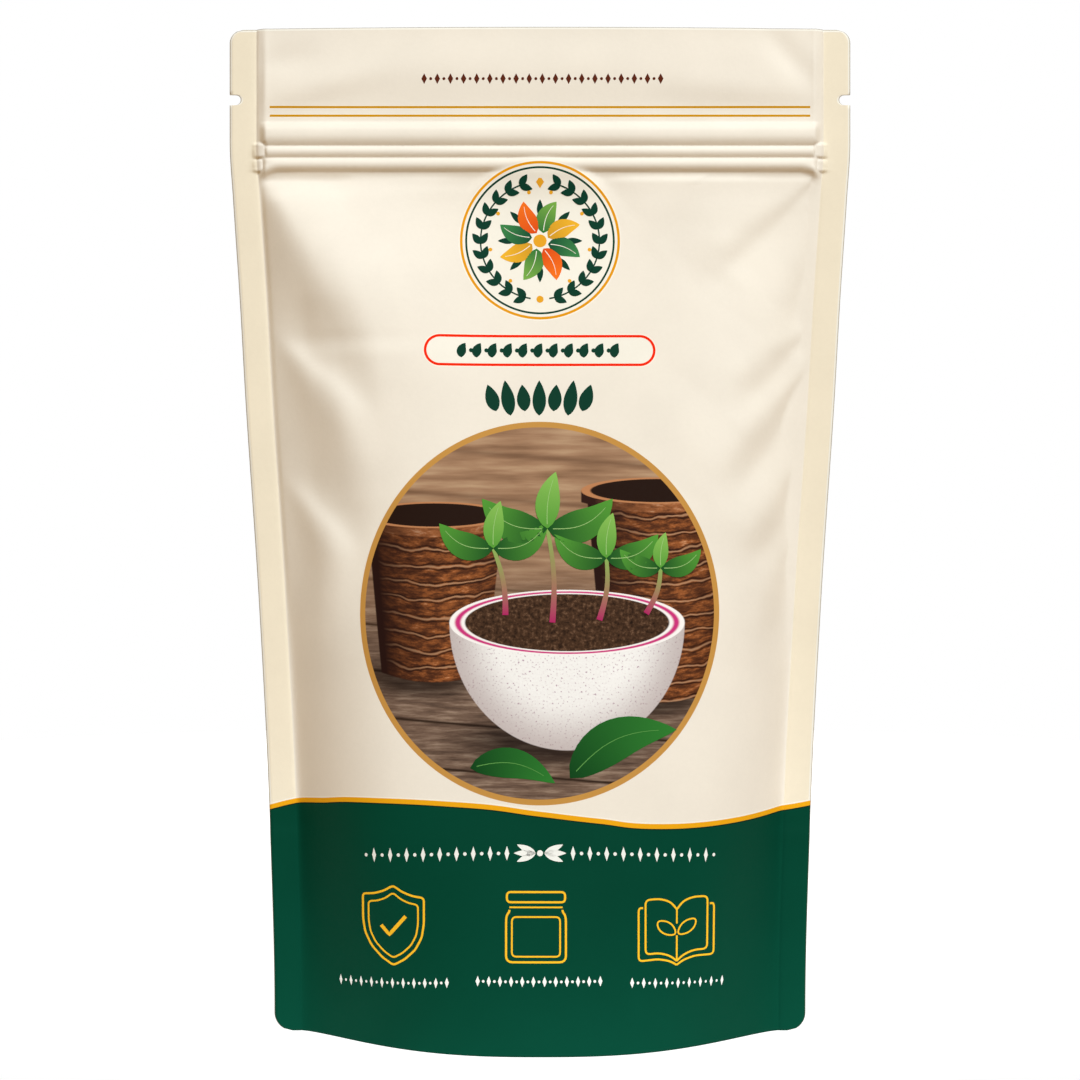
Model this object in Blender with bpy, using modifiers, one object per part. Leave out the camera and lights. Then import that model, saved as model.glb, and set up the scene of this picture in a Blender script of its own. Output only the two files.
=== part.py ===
"""A stand-up resealable seed pouch, closed and filled, standing on its opened base.

Two printed film panels are heat-sealed together down both sides. A folded gusset film is
sealed into their lower edges and opens into the base. A press-to-close zip runs across the
neck, one strip of it welded to each panel, and the seeds lie in the belly.

Units are metres, +Z is up, the front panel faces -Y, and the pouch stands on Z = 0.
"""

import math

import bmesh
import bpy

# Driving dimensions
HEIGHT = 0.210
FLAT_WIDTH = 0.130
SEAL_BAND = 0.0056
BASE_DEPTH = 0.0275  # how far each panel stands out of the mid-plane at the base
GUSSET_HEIGHT = 0.040  # where the gusset's fold enters the side seals
FILM = 0.0004
GAP = 0.0003  # between layers that are pressed or welded together
TOP_CORNER = 0.0028
BASE_CORNER = 0.0038

# Half the width over the side seals: the pouch draws in where its belly opens
HALF_WIDTHS = (
    (0.0038, 0.0556),
    (0.044, 0.0566),
    (0.090, 0.0589),
    (0.132, 0.0617),
    (0.153, 0.0629),
    (0.174, 0.0643),
    (0.186, 0.0650),
)
FREE_HALF = FLAT_WIDTH / 2 - SEAL_BAND  # of each panel, between the side seals

# The belly fades out towards the zip and towards the side seals. Each pair of powers shapes
# one fade: the first keeps the middle full, and the second softens the end. Over the base the
# belly is fuller beside the side seals than at the base itself.
BELLY_TOP = 0.181
BELLY_RISE = (1.7, 1.3)
BASE_ACROSS = (2.6, 1.4)
BELLY_ACROSS = (3.6, 1.0)
FULL_BELLY_FROM = 0.060

# The zip, and how far its three ridges lift the panel
ZIP_MIDDLE = 0.1849
ZIP_PLATE = 0.0098
ZIP_HALF_LENGTH = 0.0560
ZIP_WELD_START = 0.0570
ZIP_LIFT = (
    (0.1745, 0.0),
    (0.1798, 0.00125),
    (0.1814, 0.00185),
    (0.1831, 0.00130),
    (0.1844, 0.00185),
    (0.1856, 0.00130),
    (0.1878, 0.00195),
    (0.1900, 0.00130),
    (0.1935, 0.00060),
    (0.2100, 0.0),
)

# The tear notches, one in each side seal
NOTCH_HEIGHT = 0.1949
NOTCH_RADIUS = 0.0011
NOTCH_DEPTH = 0.0023

# Creases of the panels where the flat neck turns into the round belly. Each runs through
# three points (x, z) and stands out by its height, or in where that is negative.
FRONT_CREASES = (
    (((-0.0585, 0.1780), (-0.0530, 0.1720), (-0.0470, 0.1640)), 0.0016, 0.0034),
    (((-0.0575, 0.1720), (-0.0515, 0.1570), (-0.0395, 0.1380)), -0.0022, 0.0042),
    (((-0.0565, 0.1450), (-0.0500, 0.1400), (-0.0400, 0.1290)), 0.0014, 0.0040),
    (((-0.0555, 0.1390), (-0.0520, 0.1310), (-0.0395, 0.1185)), -0.0020, 0.0040),
    (((-0.0545, 0.1160), (-0.0510, 0.1110), (-0.0465, 0.1030)), -0.0016, 0.0045),
    (((0.0575, 0.1775), (0.0470, 0.1650), (0.0360, 0.1480)), 0.0017, 0.0036),
    (((0.0545, 0.1720), (0.0490, 0.1610), (0.0440, 0.1480)), -0.0020, 0.0036),
    (((0.0555, 0.1455), (0.0510, 0.1420), (0.0445, 0.1370)), -0.0017, 0.0034),
    (((0.0550, 0.1340), (0.0490, 0.1275), (0.0380, 0.1130)), -0.0020, 0.0040),
    (((0.0540, 0.1180), (0.0500, 0.1120), (0.0460, 0.1040)), -0.0016, 0.0038),
)
BACK_CREASES = (
    (((-0.0575, 0.1765), (-0.0480, 0.1640), (-0.0380, 0.1470)), 0.0016, 0.0036),
    (((-0.0560, 0.1640), (-0.0500, 0.1520), (-0.0410, 0.1360)), -0.0020, 0.0040),
    (((-0.0550, 0.1360), (-0.0490, 0.1290), (-0.0400, 0.1170)), -0.0018, 0.0040),
    (((0.0580, 0.1775), (0.0520, 0.1690), (0.0440, 0.1560)), 0.0016, 0.0036),
    (((0.0565, 0.1600), (0.0500, 0.1480), (0.0400, 0.1300)), -0.0021, 0.0040),
    (((0.0550, 0.1290), (0.0500, 0.1210), (0.0430, 0.1110)), -0.0017, 0.0042),
)
CREASE_STEPS = 12  # samples along a crease
CREASE_START = 0.12  # how much of its rise a crease already has at its first point
CREASE_BLUNTNESS = 0.6  # under 1 keeps a crease high along most of its length
CREASED_LEAST = 0.4  # the part of the belly's depth that creases leave at least
CREASES_FROM = GUSSET_HEIGHT + 0.008

# Where the two layers beside the gusset end, and over what height the panels close up again
GUSSET_END = GUSSET_HEIGHT + 0.001
CLOSING = 0.006

# Rows and columns of the panel grids, closer where the film bends
CORNER_ROWS = (0.0, 0.4, 1.0)  # parts of a rounded corner's radius, from its end
BASE_ROWS = (0.012, 0.022, 0.032)
BELLY_ROWS = 15
HEADER_ROWS = (0.1985, 0.2030)
COLUMNS = (0.0, 0.008, 0.016, 0.024, 0.031, 0.037, 0.042, 0.0465, 0.0505, 0.054)
COLUMNS += (ZIP_WELD_START, FREE_HALF, 0.0622, FLAT_WIDTH / 2)

# The gusset's fold dips in the middle, where the seeds press it down. Beside the fold the
# film arches up from its seal to the panel by a part of how far it reaches across.
GUSSET_DIP = 0.0125
GUSSET_CLIMB = 2.4
GUSSET_ARCH = 0.245
GUSSET_SKIRT_ROWS = 6
GUSSET_SKIRT_SPREAD = 1.5  # over 1 puts the skirt's rows closer together at the base
GUSSET_WEB_ROWS = 6
GUSSET_FIT_ROUNDS = 6  # the arch and the height of its seal are found in turns

# The seeds: a heap that fills the belly, with rounded sides and a lumpy, crowned top
SEED_HALF_WIDTH = 0.045
SEED_TOP = 0.094
SEED_SIZE = 0.0042
SEED_CLEARANCE = 0.0012
SEED_ROOM = 0.86  # the part of the belly's depth that the heap takes
SEED_FULLNESS = (0.45, 0.7)  # powers under 1 that fill the heap out, sideways and to the films
SEED_LUMPS = (1.7, 1.5)  # lumps for each seed's size, across and in depth
SEED_LUMP_HEIGHT = 0.0016
SEED_CROWN = 0.010  # how much lower the heap's top is at its ends
SEED_GRID = (36, 20)

NOTCH_SIDES = 16
NOTCH_CUTTER_LENGTH = 0.006

CREAM = (0.91, 0.83, 0.70)
GREEN = (0.004, 0.060, 0.030)
CLEAR_WHITE = (0.86, 0.86, 0.83)
SEED_BROWN = (0.30, 0.17, 0.08)


def between(knots, at):
    """A smooth curve through knots of (position, value), level past both ends."""
    if at <= knots[0][0]:
        return knots[0][1]
    if at >= knots[-1][0]:
        return knots[-1][1]
    slopes = [(b[1] - a[1]) / (b[0] - a[0]) for a, b in zip(knots, knots[1:])]
    bends = [0.0] + [
        0.0 if p * q <= 0 else 2 * p * q / (p + q) for p, q in zip(slopes, slopes[1:])
    ] + [0.0]
    i = next(i for i in range(len(slopes)) if at <= knots[i + 1][0])
    span = knots[i + 1][0] - knots[i][0]
    t = (at - knots[i][0]) / span
    start, end = knots[i][1], knots[i + 1][1]
    curve = start * (1 + 2 * t) * (1 - t) ** 2 + end * t * t * (3 - 2 * t)
    return curve + span * (bends[i] * t * (1 - t) ** 2 - bends[i + 1] * t * t * (1 - t))


def half_width(z):
    """Half the pouch's width at a height, without its rounded corners."""
    return between(HALF_WIDTHS, z)


def corner_inset(z):
    """How far a rounded corner takes the side edge in at a height."""
    for radius, level in ((BASE_CORNER, z), (TOP_CORNER, HEIGHT - z)):
        if level < radius:
            return radius - math.sqrt(radius ** 2 - (radius - level) ** 2)
    return 0.0


def place_across(column, z):
    """Where a column of the flat film comes to lie across the standing pouch."""
    sealed_from = half_width(z) - SEAL_BAND
    side = math.copysign(1.0, column)
    flat = abs(column)
    if flat <= FREE_HALF:
        return side * sealed_from * flat / FREE_HALF
    narrowed = 1 - corner_inset(z) / SEAL_BAND
    return side * (sealed_from + (flat - FREE_HALF) * narrowed)


def fade(part, powers):
    """One at part 0, none at part 1 and past it."""
    full, soft = powers
    return (1 - min(1.0, abs(part)) ** full) ** soft


def across(x, z):
    """How much of the belly's depth a point has at its place between the side seals."""
    part = x / (half_width(z) - SEAL_BAND)
    at_base = fade(part, BASE_ACROSS)
    blend = between(((0.0, 0.0), (FULL_BELLY_FROM, 1.0)), z)
    return at_base + blend * (fade(part, BELLY_ACROSS) - at_base)


def belly(x, z):
    """The round of a filled panel: full at the base, gone at the zip and the side seals."""
    rise = max(z, BASE_CORNER) / BELLY_TOP
    return BASE_DEPTH * fade(rise, BELLY_RISE) * across(x, z)


def layers(x, z):
    """The mid-plane to the panel's middle: there are two more layers beside the gusset."""
    above = GAP / 2 + FILM / 2
    beside = above + FILM + GAP
    at_seal = between(((GUSSET_END, beside), (GUSSET_END + CLOSING, above)), z)
    at_middle = between(((GUSSET_END, beside), (BELLY_TOP, above)), z)
    return at_seal + (at_middle - at_seal) * across(x, z)


def zip_lift(x, z):
    """How far the zip's strips lift the panel, up to their crushed ends."""
    reach = between(((ZIP_WELD_START, 1.0), (FREE_HALF, 0.0)), abs(x))
    return reach * between(ZIP_LIFT, z)


def crease_offset(creases, x, z):
    """The sum of the creases at a point of the panel."""
    total = 0.0
    for (start, middle, end), height, spread in creases:
        nearest, along = min(
            (math.hypot(x - px, z - pz), t)
            for t in (step / CREASE_STEPS for step in range(CREASE_STEPS + 1))
            for px, pz in [bent_line(start, middle, end, t)]
        )
        grown = CREASE_START + (1 - CREASE_START) * along
        tapered = max(0.0, math.sin(math.pi * grown)) ** CREASE_BLUNTNESS
        total += height * tapered * math.exp(-((nearest / spread) ** 2))
    return total


def bent_line(start, middle, end, t):
    """A point on the curve that passes its middle point halfway."""
    pull = tuple(2 * m - (s + e) / 2 for s, m, e in zip(start, middle, end))
    return tuple(
        (1 - t) ** 2 * s + 2 * t * (1 - t) * p + t * t * e
        for s, p, e in zip(start, pull, end)
    )


def panel_depth(creases, x, z):
    """The mid-plane to the middle of a panel's film."""
    round_part = belly(x, z)
    if z < CREASES_FROM or z > BELLY_TOP or round_part == 0.0:
        return layers(x, z) + zip_lift(x, z) + round_part
    creased = round_part + crease_offset(creases, x, z)
    return layers(x, z) + zip_lift(x, z) + max(CREASED_LEAST * round_part, creased)


def fold_height(x):
    """The height of the gusset's fold at a place across the pouch."""
    inner = half_width(GUSSET_HEIGHT / 2) - SEAL_BAND
    climb = min(1.0, abs(x / inner)) ** GUSSET_CLIMB
    return GUSSET_DIP + (GUSSET_HEIGHT - GUSSET_DIP) * climb


def skirt_depth(x, z):
    """The mid-plane to the gusset film where it is sealed to a panel."""
    return (GAP + FILM) / 2 + belly(x, z)


def gusset_section(column):
    """One column of the gusset film, as (x, y, z) from the front edge over the fold."""
    fold = fold_height(place_across(column, GUSSET_HEIGHT / 2))
    seal_top = fold
    for _ in range(GUSSET_FIT_ROUNDS):
        reach = skirt_depth(place_across(column, seal_top), seal_top)
        arch = GUSSET_ARCH * reach + (1 - GUSSET_ARCH) * (GAP + FILM) / 2
        seal_top = fold - arch
    points = []
    for row in range(GUSSET_SKIRT_ROWS):
        z = seal_top * (row / GUSSET_SKIRT_ROWS) ** GUSSET_SKIRT_SPREAD
        x = place_across(column, z)
        points.append((x, -skirt_depth(x, z), z))
    for row in range(GUSSET_WEB_ROWS):
        turn = math.pi / 2 * row / GUSSET_WEB_ROWS
        z = seal_top + (fold - seal_top) * math.sin(turn)
        points.append((place_across(column, z), -reach * math.cos(turn), z))
    back = [(x, -y, z) for x, y, z in reversed(points)]
    return points + [(place_across(column, fold), 0.0, fold)] + back


def remove_everything():
    """Empty the scene."""
    for old in list(bpy.data.objects):
        bpy.data.objects.remove(old)


def new_collection(name):
    """A collection of the scene."""
    made = bpy.data.collections.new(name)
    bpy.context.scene.collection.children.link(made)
    return made


def add(name, mesh, collection, material):
    """An object in a collection, with its one material."""
    made = bpy.data.objects.new(name, mesh)
    made.data.materials.append(material)
    collection.objects.link(made)
    return made


def plain_material(name, colour, roughness):
    """A Principled material of one colour."""
    made = bpy.data.materials.new(name)
    made.use_nodes = True
    shader = made.node_tree.nodes["Principled BSDF"]
    shader.inputs["Base Color"].default_value = (*colour, 1.0)
    shader.inputs["Roughness"].default_value = roughness
    shader.inputs["Metallic"].default_value = 0.0
    made.diffuse_color = (*colour, 1.0)
    return made


def bent_film(name, columns, section, collection, material):
    """A film: a flat grid whose points are moved to a section for each column."""
    rows = len(section(columns[0]))
    mesh = bpy.data.meshes.new(name)
    work = bmesh.new()
    grid = bmesh.ops.create_grid(
        work, x_segments=len(columns) - 1, y_segments=rows - 1, size=1.0
    )
    sections = [section(column) for column in columns]
    for vertex in grid["verts"]:
        column = round((vertex.co.x + 1) / 2 * (len(columns) - 1))
        row = round((vertex.co.y + 1) / 2 * (rows - 1))
        vertex.co = sections[column][row]
    bmesh.ops.triangulate(work, faces=work.faces[:])
    work.to_mesh(mesh)
    work.free()
    mesh.shade_smooth()
    film = add(name, mesh, collection, material)
    thickness = film.modifiers.new("film thickness", "SOLIDIFY")
    thickness.thickness = FILM
    thickness.offset = 0.0
    thickness.use_even_offset = True
    return film


def panel_rows():
    """Heights of the panel's rows, from the base up."""
    corner = [BASE_CORNER * part for part in CORNER_ROWS]
    top = [HEIGHT - TOP_CORNER * part for part in reversed(CORNER_ROWS)]
    lower = [*BASE_ROWS, GUSSET_END, GUSSET_END + CLOSING]
    upper_start, upper_end = lower[-1], ZIP_LIFT[0][0]
    belly_step = (upper_end - upper_start) / BELLY_ROWS
    upper = [upper_start + belly_step * row for row in range(1, BELLY_ROWS + 1)]
    ridges = [z for z, _ in ZIP_LIFT[1:-1]]
    return corner + lower + upper + ridges + list(HEADER_ROWS) + top


def make_panel(name, side, creases, collection, material):
    """The front panel (side -1) or the back one (side +1)."""
    rows = panel_rows()

    def section(column):
        places = [(place_across(column, z), z) for z in rows]
        return [(x, side * panel_depth(creases, x, z), z) for x, z in places]

    return bent_film(name, outward_columns(side), section, collection, material)


def outward_columns(side):
    """The flat film's columns, in the order that makes the grid face outwards."""
    columns = [-column for column in reversed(COLUMNS[1:])] + list(COLUMNS)
    return columns if side < 0 else columns[::-1]


def make_notch_cutter(name, side, collection):
    """A round-ended slot through both panels at one side edge."""
    mesh = bpy.data.meshes.new(name)
    work = bmesh.new()
    bmesh.ops.create_cone(
        work,
        cap_ends=True,
        segments=NOTCH_SIDES,
        radius1=NOTCH_RADIUS,
        radius2=NOTCH_RADIUS,
        depth=NOTCH_CUTTER_LENGTH,
    )
    for vertex in work.verts:
        x, y, z = vertex.co
        vertex.co = (x, z, -y)
        if x * side > NOTCH_RADIUS / 100:
            vertex.co.x += side * 2 * NOTCH_DEPTH
    work.to_mesh(mesh)
    work.free()
    cutter = bpy.data.objects.new(name, mesh)
    edge = half_width(NOTCH_HEIGHT) - NOTCH_DEPTH + NOTCH_RADIUS
    cutter.location = (side * edge, 0.0, NOTCH_HEIGHT)
    cutter.hide_render = True
    cutter.display_type = "WIRE"
    collection.objects.link(cutter)
    return cutter


def cut(target, cutters):
    """Take each cutter out of a film."""
    for cutter in cutters:
        notch = target.modifiers.new(cutter.name, "BOOLEAN")
        notch.operation = "DIFFERENCE"
        notch.object = cutter


def make_zip_strip(name, profile, collection, material):
    """A zip strip: its section (y, z from the zip's middle) drawn out across the neck."""
    curve = bpy.data.curves.new(name, "CURVE")
    curve.dimensions = "2D"
    curve.fill_mode = "BOTH"
    curve.extrude = ZIP_HALF_LENGTH
    outline = curve.splines.new("POLY")
    outline.points.add(len(profile) - 1)
    for point, (y, z) in zip(outline.points, profile):
        point.co = (y, z, 0.0, 1.0)
    outline.use_cyclic_u = True
    strip = add(name, curve, collection, material)
    strip.rotation_euler = (math.pi / 2, 0.0, math.pi / 2)
    strip.location = (0.0, 0.0, ZIP_MIDDLE)
    return strip


def rib_profile():
    """The front strip's section: a plate with one arrow-headed rib."""
    outer, inner, neck_end, tip = -0.00105, -0.00070, -0.00005, 0.00045
    neck, head, half_plate = 0.0003, 0.0006, ZIP_PLATE / 2
    upper = [(outer, half_plate), (inner, half_plate), (inner, neck)]
    upper += [(neck_end, neck), (neck_end, head), (tip, neck)]
    return upper + [(y, -z) for y, z in reversed(upper)]


def groove_profile():
    """The back strip's section: a plate with two hooked jaws that hold the rib's head."""
    outer, inner, lip_end, lip_back = 0.00105, 0.00070, -0.00045, -0.00025
    lip, jaw_inner, jaw_outer, half_plate = 0.0005, 0.0008, 0.0012, ZIP_PLATE / 2
    upper = [(outer, half_plate), (inner, half_plate), (inner, jaw_outer)]
    upper += [(lip_end, jaw_outer), (lip_end, lip), (lip_back, lip)]
    upper += [(lip_back, jaw_inner), (inner, jaw_inner)]
    return upper + [(y, -z) for y, z in reversed(upper)]


def make_seeds(name, collection, material):
    """The heap of seeds: it fills the belly from the gusset up, with a lumpy top."""
    mesh = bpy.data.meshes.new(name)
    work = bmesh.new()
    around, up = SEED_GRID
    bmesh.ops.create_uvsphere(work, u_segments=around, v_segments=up, radius=1.0)
    for vertex in work.verts:
        turn = math.atan2(vertex.co.y, vertex.co.x)
        spread = math.hypot(vertex.co.x, vertex.co.y) ** SEED_FULLNESS[0]
        x = SEED_HALF_WIDTH * spread * math.cos(turn)
        floor = fold_height(x) + SEED_CLEARANCE
        level = (1 + vertex.co.z) / 2
        z = floor + (SEED_TOP - floor) * level
        room = SEED_ROOM * belly(x, z) - SEED_CLEARANCE / 2
        to_film = math.copysign(abs(math.sin(turn)) ** SEED_FULLNESS[1], math.sin(turn))
        y = spread * room * to_film
        lumps = math.sin(SEED_LUMPS[0] * x / SEED_SIZE) * math.cos(SEED_LUMPS[1] * y / SEED_SIZE)
        z += SEED_LUMP_HEIGHT * lumps * level ** 3
        z -= SEED_CROWN * level ** 4 * (x / SEED_HALF_WIDTH) ** 2
        vertex.co = (x, y, z)
    work.to_mesh(mesh)
    work.free()
    mesh.shade_smooth()
    return add(name, mesh, collection, material)


def main():
    remove_everything()
    pouch = new_collection("seed pouch")
    cutters = new_collection("cutters")

    front = plain_material("front film", CREAM, 0.55)
    back = plain_material("back film", CREAM, 0.55)
    base = plain_material("gusset film", GREEN, 0.55)
    plastic = plain_material("zip plastic", CLEAR_WHITE, 0.35)
    plastic_back = plain_material("zip plastic, back strip", CLEAR_WHITE, 0.35)
    seed = plain_material("seeds", SEED_BROWN, 0.7)

    notches = [make_notch_cutter("notch_left", -1, cutters)]
    notches.append(make_notch_cutter("notch_right", 1, cutters))
    cut(make_panel("front_panel", -1, FRONT_CREASES, pouch, front), notches)
    cut(make_panel("back_panel", 1, BACK_CREASES, pouch, back), notches)
    bent_film("bottom_gusset", outward_columns(1), gusset_section, pouch, base)
    make_zip_strip("zip_rib_strip", rib_profile(), pouch, plastic)
    make_zip_strip("zip_groove_strip", groove_profile(), pouch, plastic_back)
    make_seeds("seed_fill", pouch, seed)


main()
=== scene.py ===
"""The finish of a stand-up resealable seed pouch: its printed films with their side seals,
zip ridges, creases and belly, the folded base, the zip strips and the seeds, on a pale floor.

Lengths are millimetres until a mesh is made. The front panel faces -Y and Z is up."""

import math

import bmesh
import bpy
import mathutils
import numpy as np
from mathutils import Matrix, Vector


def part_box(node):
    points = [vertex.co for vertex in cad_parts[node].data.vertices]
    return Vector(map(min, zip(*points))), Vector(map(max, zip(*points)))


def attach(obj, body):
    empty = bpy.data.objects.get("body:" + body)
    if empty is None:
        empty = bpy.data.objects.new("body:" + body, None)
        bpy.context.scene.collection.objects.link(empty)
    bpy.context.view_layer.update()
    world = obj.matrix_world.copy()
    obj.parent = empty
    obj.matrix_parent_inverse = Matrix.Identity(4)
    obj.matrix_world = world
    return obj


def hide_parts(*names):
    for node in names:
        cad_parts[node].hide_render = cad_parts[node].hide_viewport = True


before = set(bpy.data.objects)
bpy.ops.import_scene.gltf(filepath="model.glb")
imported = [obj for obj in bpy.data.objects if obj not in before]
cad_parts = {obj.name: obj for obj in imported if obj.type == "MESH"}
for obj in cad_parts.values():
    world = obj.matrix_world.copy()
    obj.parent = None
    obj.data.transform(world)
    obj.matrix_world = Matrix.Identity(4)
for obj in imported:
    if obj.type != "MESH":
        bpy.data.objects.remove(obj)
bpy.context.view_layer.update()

MM = 0.001


def node_box(node):
    """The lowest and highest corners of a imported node, in millimetres."""
    return [[value / MM for value in corner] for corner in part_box(node)]


# The pouch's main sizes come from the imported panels, gusset and zip
PANEL_LOW, PANEL_HIGH = node_box("front_panel")
GUSSET_HIGH = node_box("bottom_gusset")[1]
ZIP_LOW = node_box("zip_rib_strip")[0]
HEIGHT = PANEL_HIGH[2]
HALF_FLAT = PANEL_HIGH[0]
BASE_DEPTH = -PANEL_LOW[1] - 1.25
GUSSET_TOP = GUSSET_HIGH[2] + 0.8

SEAL_BAND = 5.6
FREE_HALF = HALF_FLAT - SEAL_BAND
FILM = 0.25
LAYER = 0.14  # from the mid-plane to the middle of the first film of a welded stack
TOP_CORNER = 2.8
BASE_CORNER = 3.8
NOTCH_HEIGHT = 194.9
NOTCH_RADIUS = 1.1
NOTCH_DEPTH = 2.3

HALF_WIDTHS = (
    (3.8, 55.6),
    (44.0, 56.6),
    (90.0, 58.9),
    (132.0, 61.7),
    (153.0, 62.9),
    (174.0, 64.3),
    (186.0, HALF_FLAT),
)
BELLY_TOP = 181.0
BELLY_RISE = (1.7, 1.3)
BASE_ACROSS = (2.6, 1.4)
BELLY_ACROSS = (5.0, 1.35)
FULL_BELLY_FROM = 60.0

# How far the zip lifts the film: a plain lift, and three ridges on it, each as its lower
# foot, crest, upper foot and rise
ZIP_BASE = (
    (178.3, 0.0),
    (181.0, 0.85),
    (185.0, 0.95),
    (188.2, 0.95),
    (190.3, 0.38),
    (192.5, 0.30),
    (200.5, 0.72),
    (HEIGHT, 0.15),
)
ZIP_RIDGES = (
    (184.95, 187.10, 190.15, 1.05),
    (182.50, 183.80, 184.95, 0.72),
    (179.65, 181.15, 182.50, 0.80),
)
ZIP_RIDGE_REACH = (57.0, 59.0)  # where across the pouch the ridges end
ZIP_ENDS = (  # crushed ends: inner middle (x, z), half height, outer end and rise
    ((57.3, 184.1), 1.45, 59.7, 0.85),
    ((58.0, 181.1), 1.15, 59.8, 0.62),
)
BADGE = (0.0, 165.1)
BADGE_RADIUS = 16.65
BADGE_FOOT = ((168.0, 0.0), (172.0, 0.15), (178.0, 1.15), (181.15, 1.68), (183.0, 1.70))
SEAL_EASE = 1.0  # how softly the belly starts beside a side seal
LEAST_BELLY = 0.35  # the part of the belly's depth that folds and waves leave at least
RIM_BOW = 0.5  # how much lower the mouth's rim is at its ends

# The film stands up beside a side seal by its lip, at each height, and the welded band
# itself rises from a narrow line along the seal
LIP = ((20.0, 0.0), (90.0, 0.26), (174.0, 0.30), (180.0, 0.75), (190.0, 0.95), (HEIGHT, 0.95))
LIP_REACH = 0.58
HEADER_BEAD = 0.16
WELD_RISE = 0.16
WELD_REACH = ((176.0, 0.30), (188.0, 0.85))

# The header's soft dents and crests, each as its middle (x, z), the turn of its long axis,
# its reach along and across that axis, and its height
HEADER_WAVES = (
    ((-53.0, 203.0), 10.0, 5.0, 2.4, -0.62),
    ((-46.5, 197.3), 14.0, 9.0, 2.0, 0.42),
    ((52.6, 203.2), -50.0, 5.5, 2.0, -0.68),
    ((42.0, 197.0), -4.0, 11.0, 2.2, 0.42),
)

# The creases beside the side seals
FOLD_GROWN = 0.55  # how far along a fold it has its full reach
FOLD_FADES = 0.62  # how far along it starts to fade out
FOLD_RETURN = 12.0  # how far beyond its crest the film slopes back
FOLD_DENT = 9.0  # how far below its flank the film rises again
WEDGE_RETURN = 15.0  # how far beyond a wedge's crest the film slopes back
WEDGE_CORNER = 0.5  # how round that crest is at the seal
WEDGE_SOFTENS = 0.10  # how much rounder it gets with its distance from the seal
WEDGE_FADES = 26.0  # over what height its lower end fades
WEDGE_TAKES = 2.2  # how softly the belly's round gives way to the wedge at its crest
BAND_STARTS = 0.5  # half the height of a wedge's band at the seal
BAND_OPENS = 0.36  # how much it grows with its distance from the seal

# The zip strips: their plates, and the heights of their two tracks
ZIP_TRACKS = (184.2, 181.6)
ZIP_PLATE_TOP = 188.4
ZIP_PLATE_LOW = 180.6

# The heap of seeds, and how the seeds are strewn on it
SEED_HALF_WIDTH = 44.0
SEED_TOP = 92.0
SEED_ROOM = 0.76
HEAP_SIDES = 48
HEAP_RINGS = 28
SEED_SPACING = 3.4
SEED_SIZE = 4.2
SEED_SHAPE = (0.5, 0.38, 0.24)
SEED_TILT = 0.35
SEED_SIZES = (0.85, 1.1)
SEEDS_PER_SQUARE_METRE = 400000.0

# The prints' places and sizes. A layer of ink lies proud by the print's lift
PRINT_LIFT = 0.035
WAVE_LEFT, WAVE_RIGHT = -58.0, 58.0
WAVE_LOW, WAVE_HIGH = 44.0, 52.0
FRONT_WAVE = ((-56.9, 46.7), (-45.5, 49.0), (-33.5, 50.2), (-16.1, 49.7), (-0.1, 47.9), (11.9, 46.5),
              (24.4, 45.3), (38.6, 45.6), (56.4, 47.6))
BACK_WAVE = ((-57.0, 47.5), (-40.0, 45.4), (-20.0, 45.8), (0.0, 48.0), (20.0, 50.0), (40.0, 49.6),
             (57.0, 46.8))
HEADER_LINES = (193.2, 191.4)
PILL_HEIGHT = 141.87
PILL_HALF = 23.85
PILL_ROUND = 3.25
OVAL = (-0.1, 88.3)
OVAL_RADII = (36.6, 38.7)
HEADER_ROW = 199.1
TITLE = (-0.15, 131.95)
WREATH_RADIUS = 12.4
POTS = ((-21.5, 14.0, 74.0, 107.5), (24.0, 14.5, 70.0, 112.5))  # middle, half width, foot, rim
BOWL = (5.5, 86.0, 23.8, 25.5)  # middle, rim, half width, depth
CAPTIONS = (  # start, end, height at the start and at the end
    (-41.0, -18.6, 12.2, 14.3),
    (-12.4, 12.0, 14.9, 14.9),
    (18.4, 37.2, 14.3, 12.7),
)

# The back's ruled panel for notes
NOTES_TOP = 150.0
NOTES_LOW = 66.0
NOTES_HALF = 42.0
NOTES_RULE = 9.0

# Colours, and ramps of (position, colour)
CREAM = (0.87, 0.80, 0.715)
CREAM_DEEP = (0.86, 0.785, 0.69)
CREAM_SEAL = (0.87, 0.775, 0.62)
GREEN = (0.0016, 0.060, 0.034)
GREEN_DEEP = (0.0012, 0.050, 0.027)
GREEN_LINE = (0.003, 0.030, 0.018)
PALE = (0.93, 0.88, 0.77)
GOLD = (0.80, 0.37, 0.022)
LINE_GOLD = (0.60, 0.285, 0.003)
ICON_GOLD = (0.98, 0.53, 0.025)
WAVE_GOLD = (0.86, 0.39, 0.009)
# Painted highlight and painted shade along the cut edge: a pale line, and a fine dark one outside it
PAINTED_EDGE_HIGHLIGHT = (0.93, 0.89, 0.81)
EDGE_SHADE = (0.22, 0.20, 0.17)
OVAL_GOLD = (0.56, 0.28, 0.065)
INK_GREEN = (0.005, 0.045, 0.026)
RED = (0.90, 0.022, 0.001)
BROWN = (0.11, 0.022, 0.010)
WHITE = (0.90, 0.90, 0.87)
BADGE_GROUND = (0.895, 0.845, 0.755)
BADGE_GOLD = (0.77, 0.315, 0.004)
BOARDS_FAR = ((0.25, (0.20, 0.105, 0.058)), (0.5, (0.36, 0.205, 0.120)), (0.75, (0.52, 0.34, 0.21)))
BOARDS_NEAR = ((0.25, (0.050, 0.030, 0.022)), (0.5, (0.17, 0.105, 0.075)), (0.75, (0.38, 0.27, 0.20)))
BOARD_GAP = (0.03, 0.016, 0.010)
BOARD_GAP_FAR = (0.12, 0.058, 0.032)
CLAY = ((0.30, (0.030, 0.009, 0.005)), (0.47, (0.115, 0.036, 0.014)), (0.60, (0.34, 0.105, 0.030)),
        (0.76, (0.72, 0.36, 0.19)))
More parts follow.
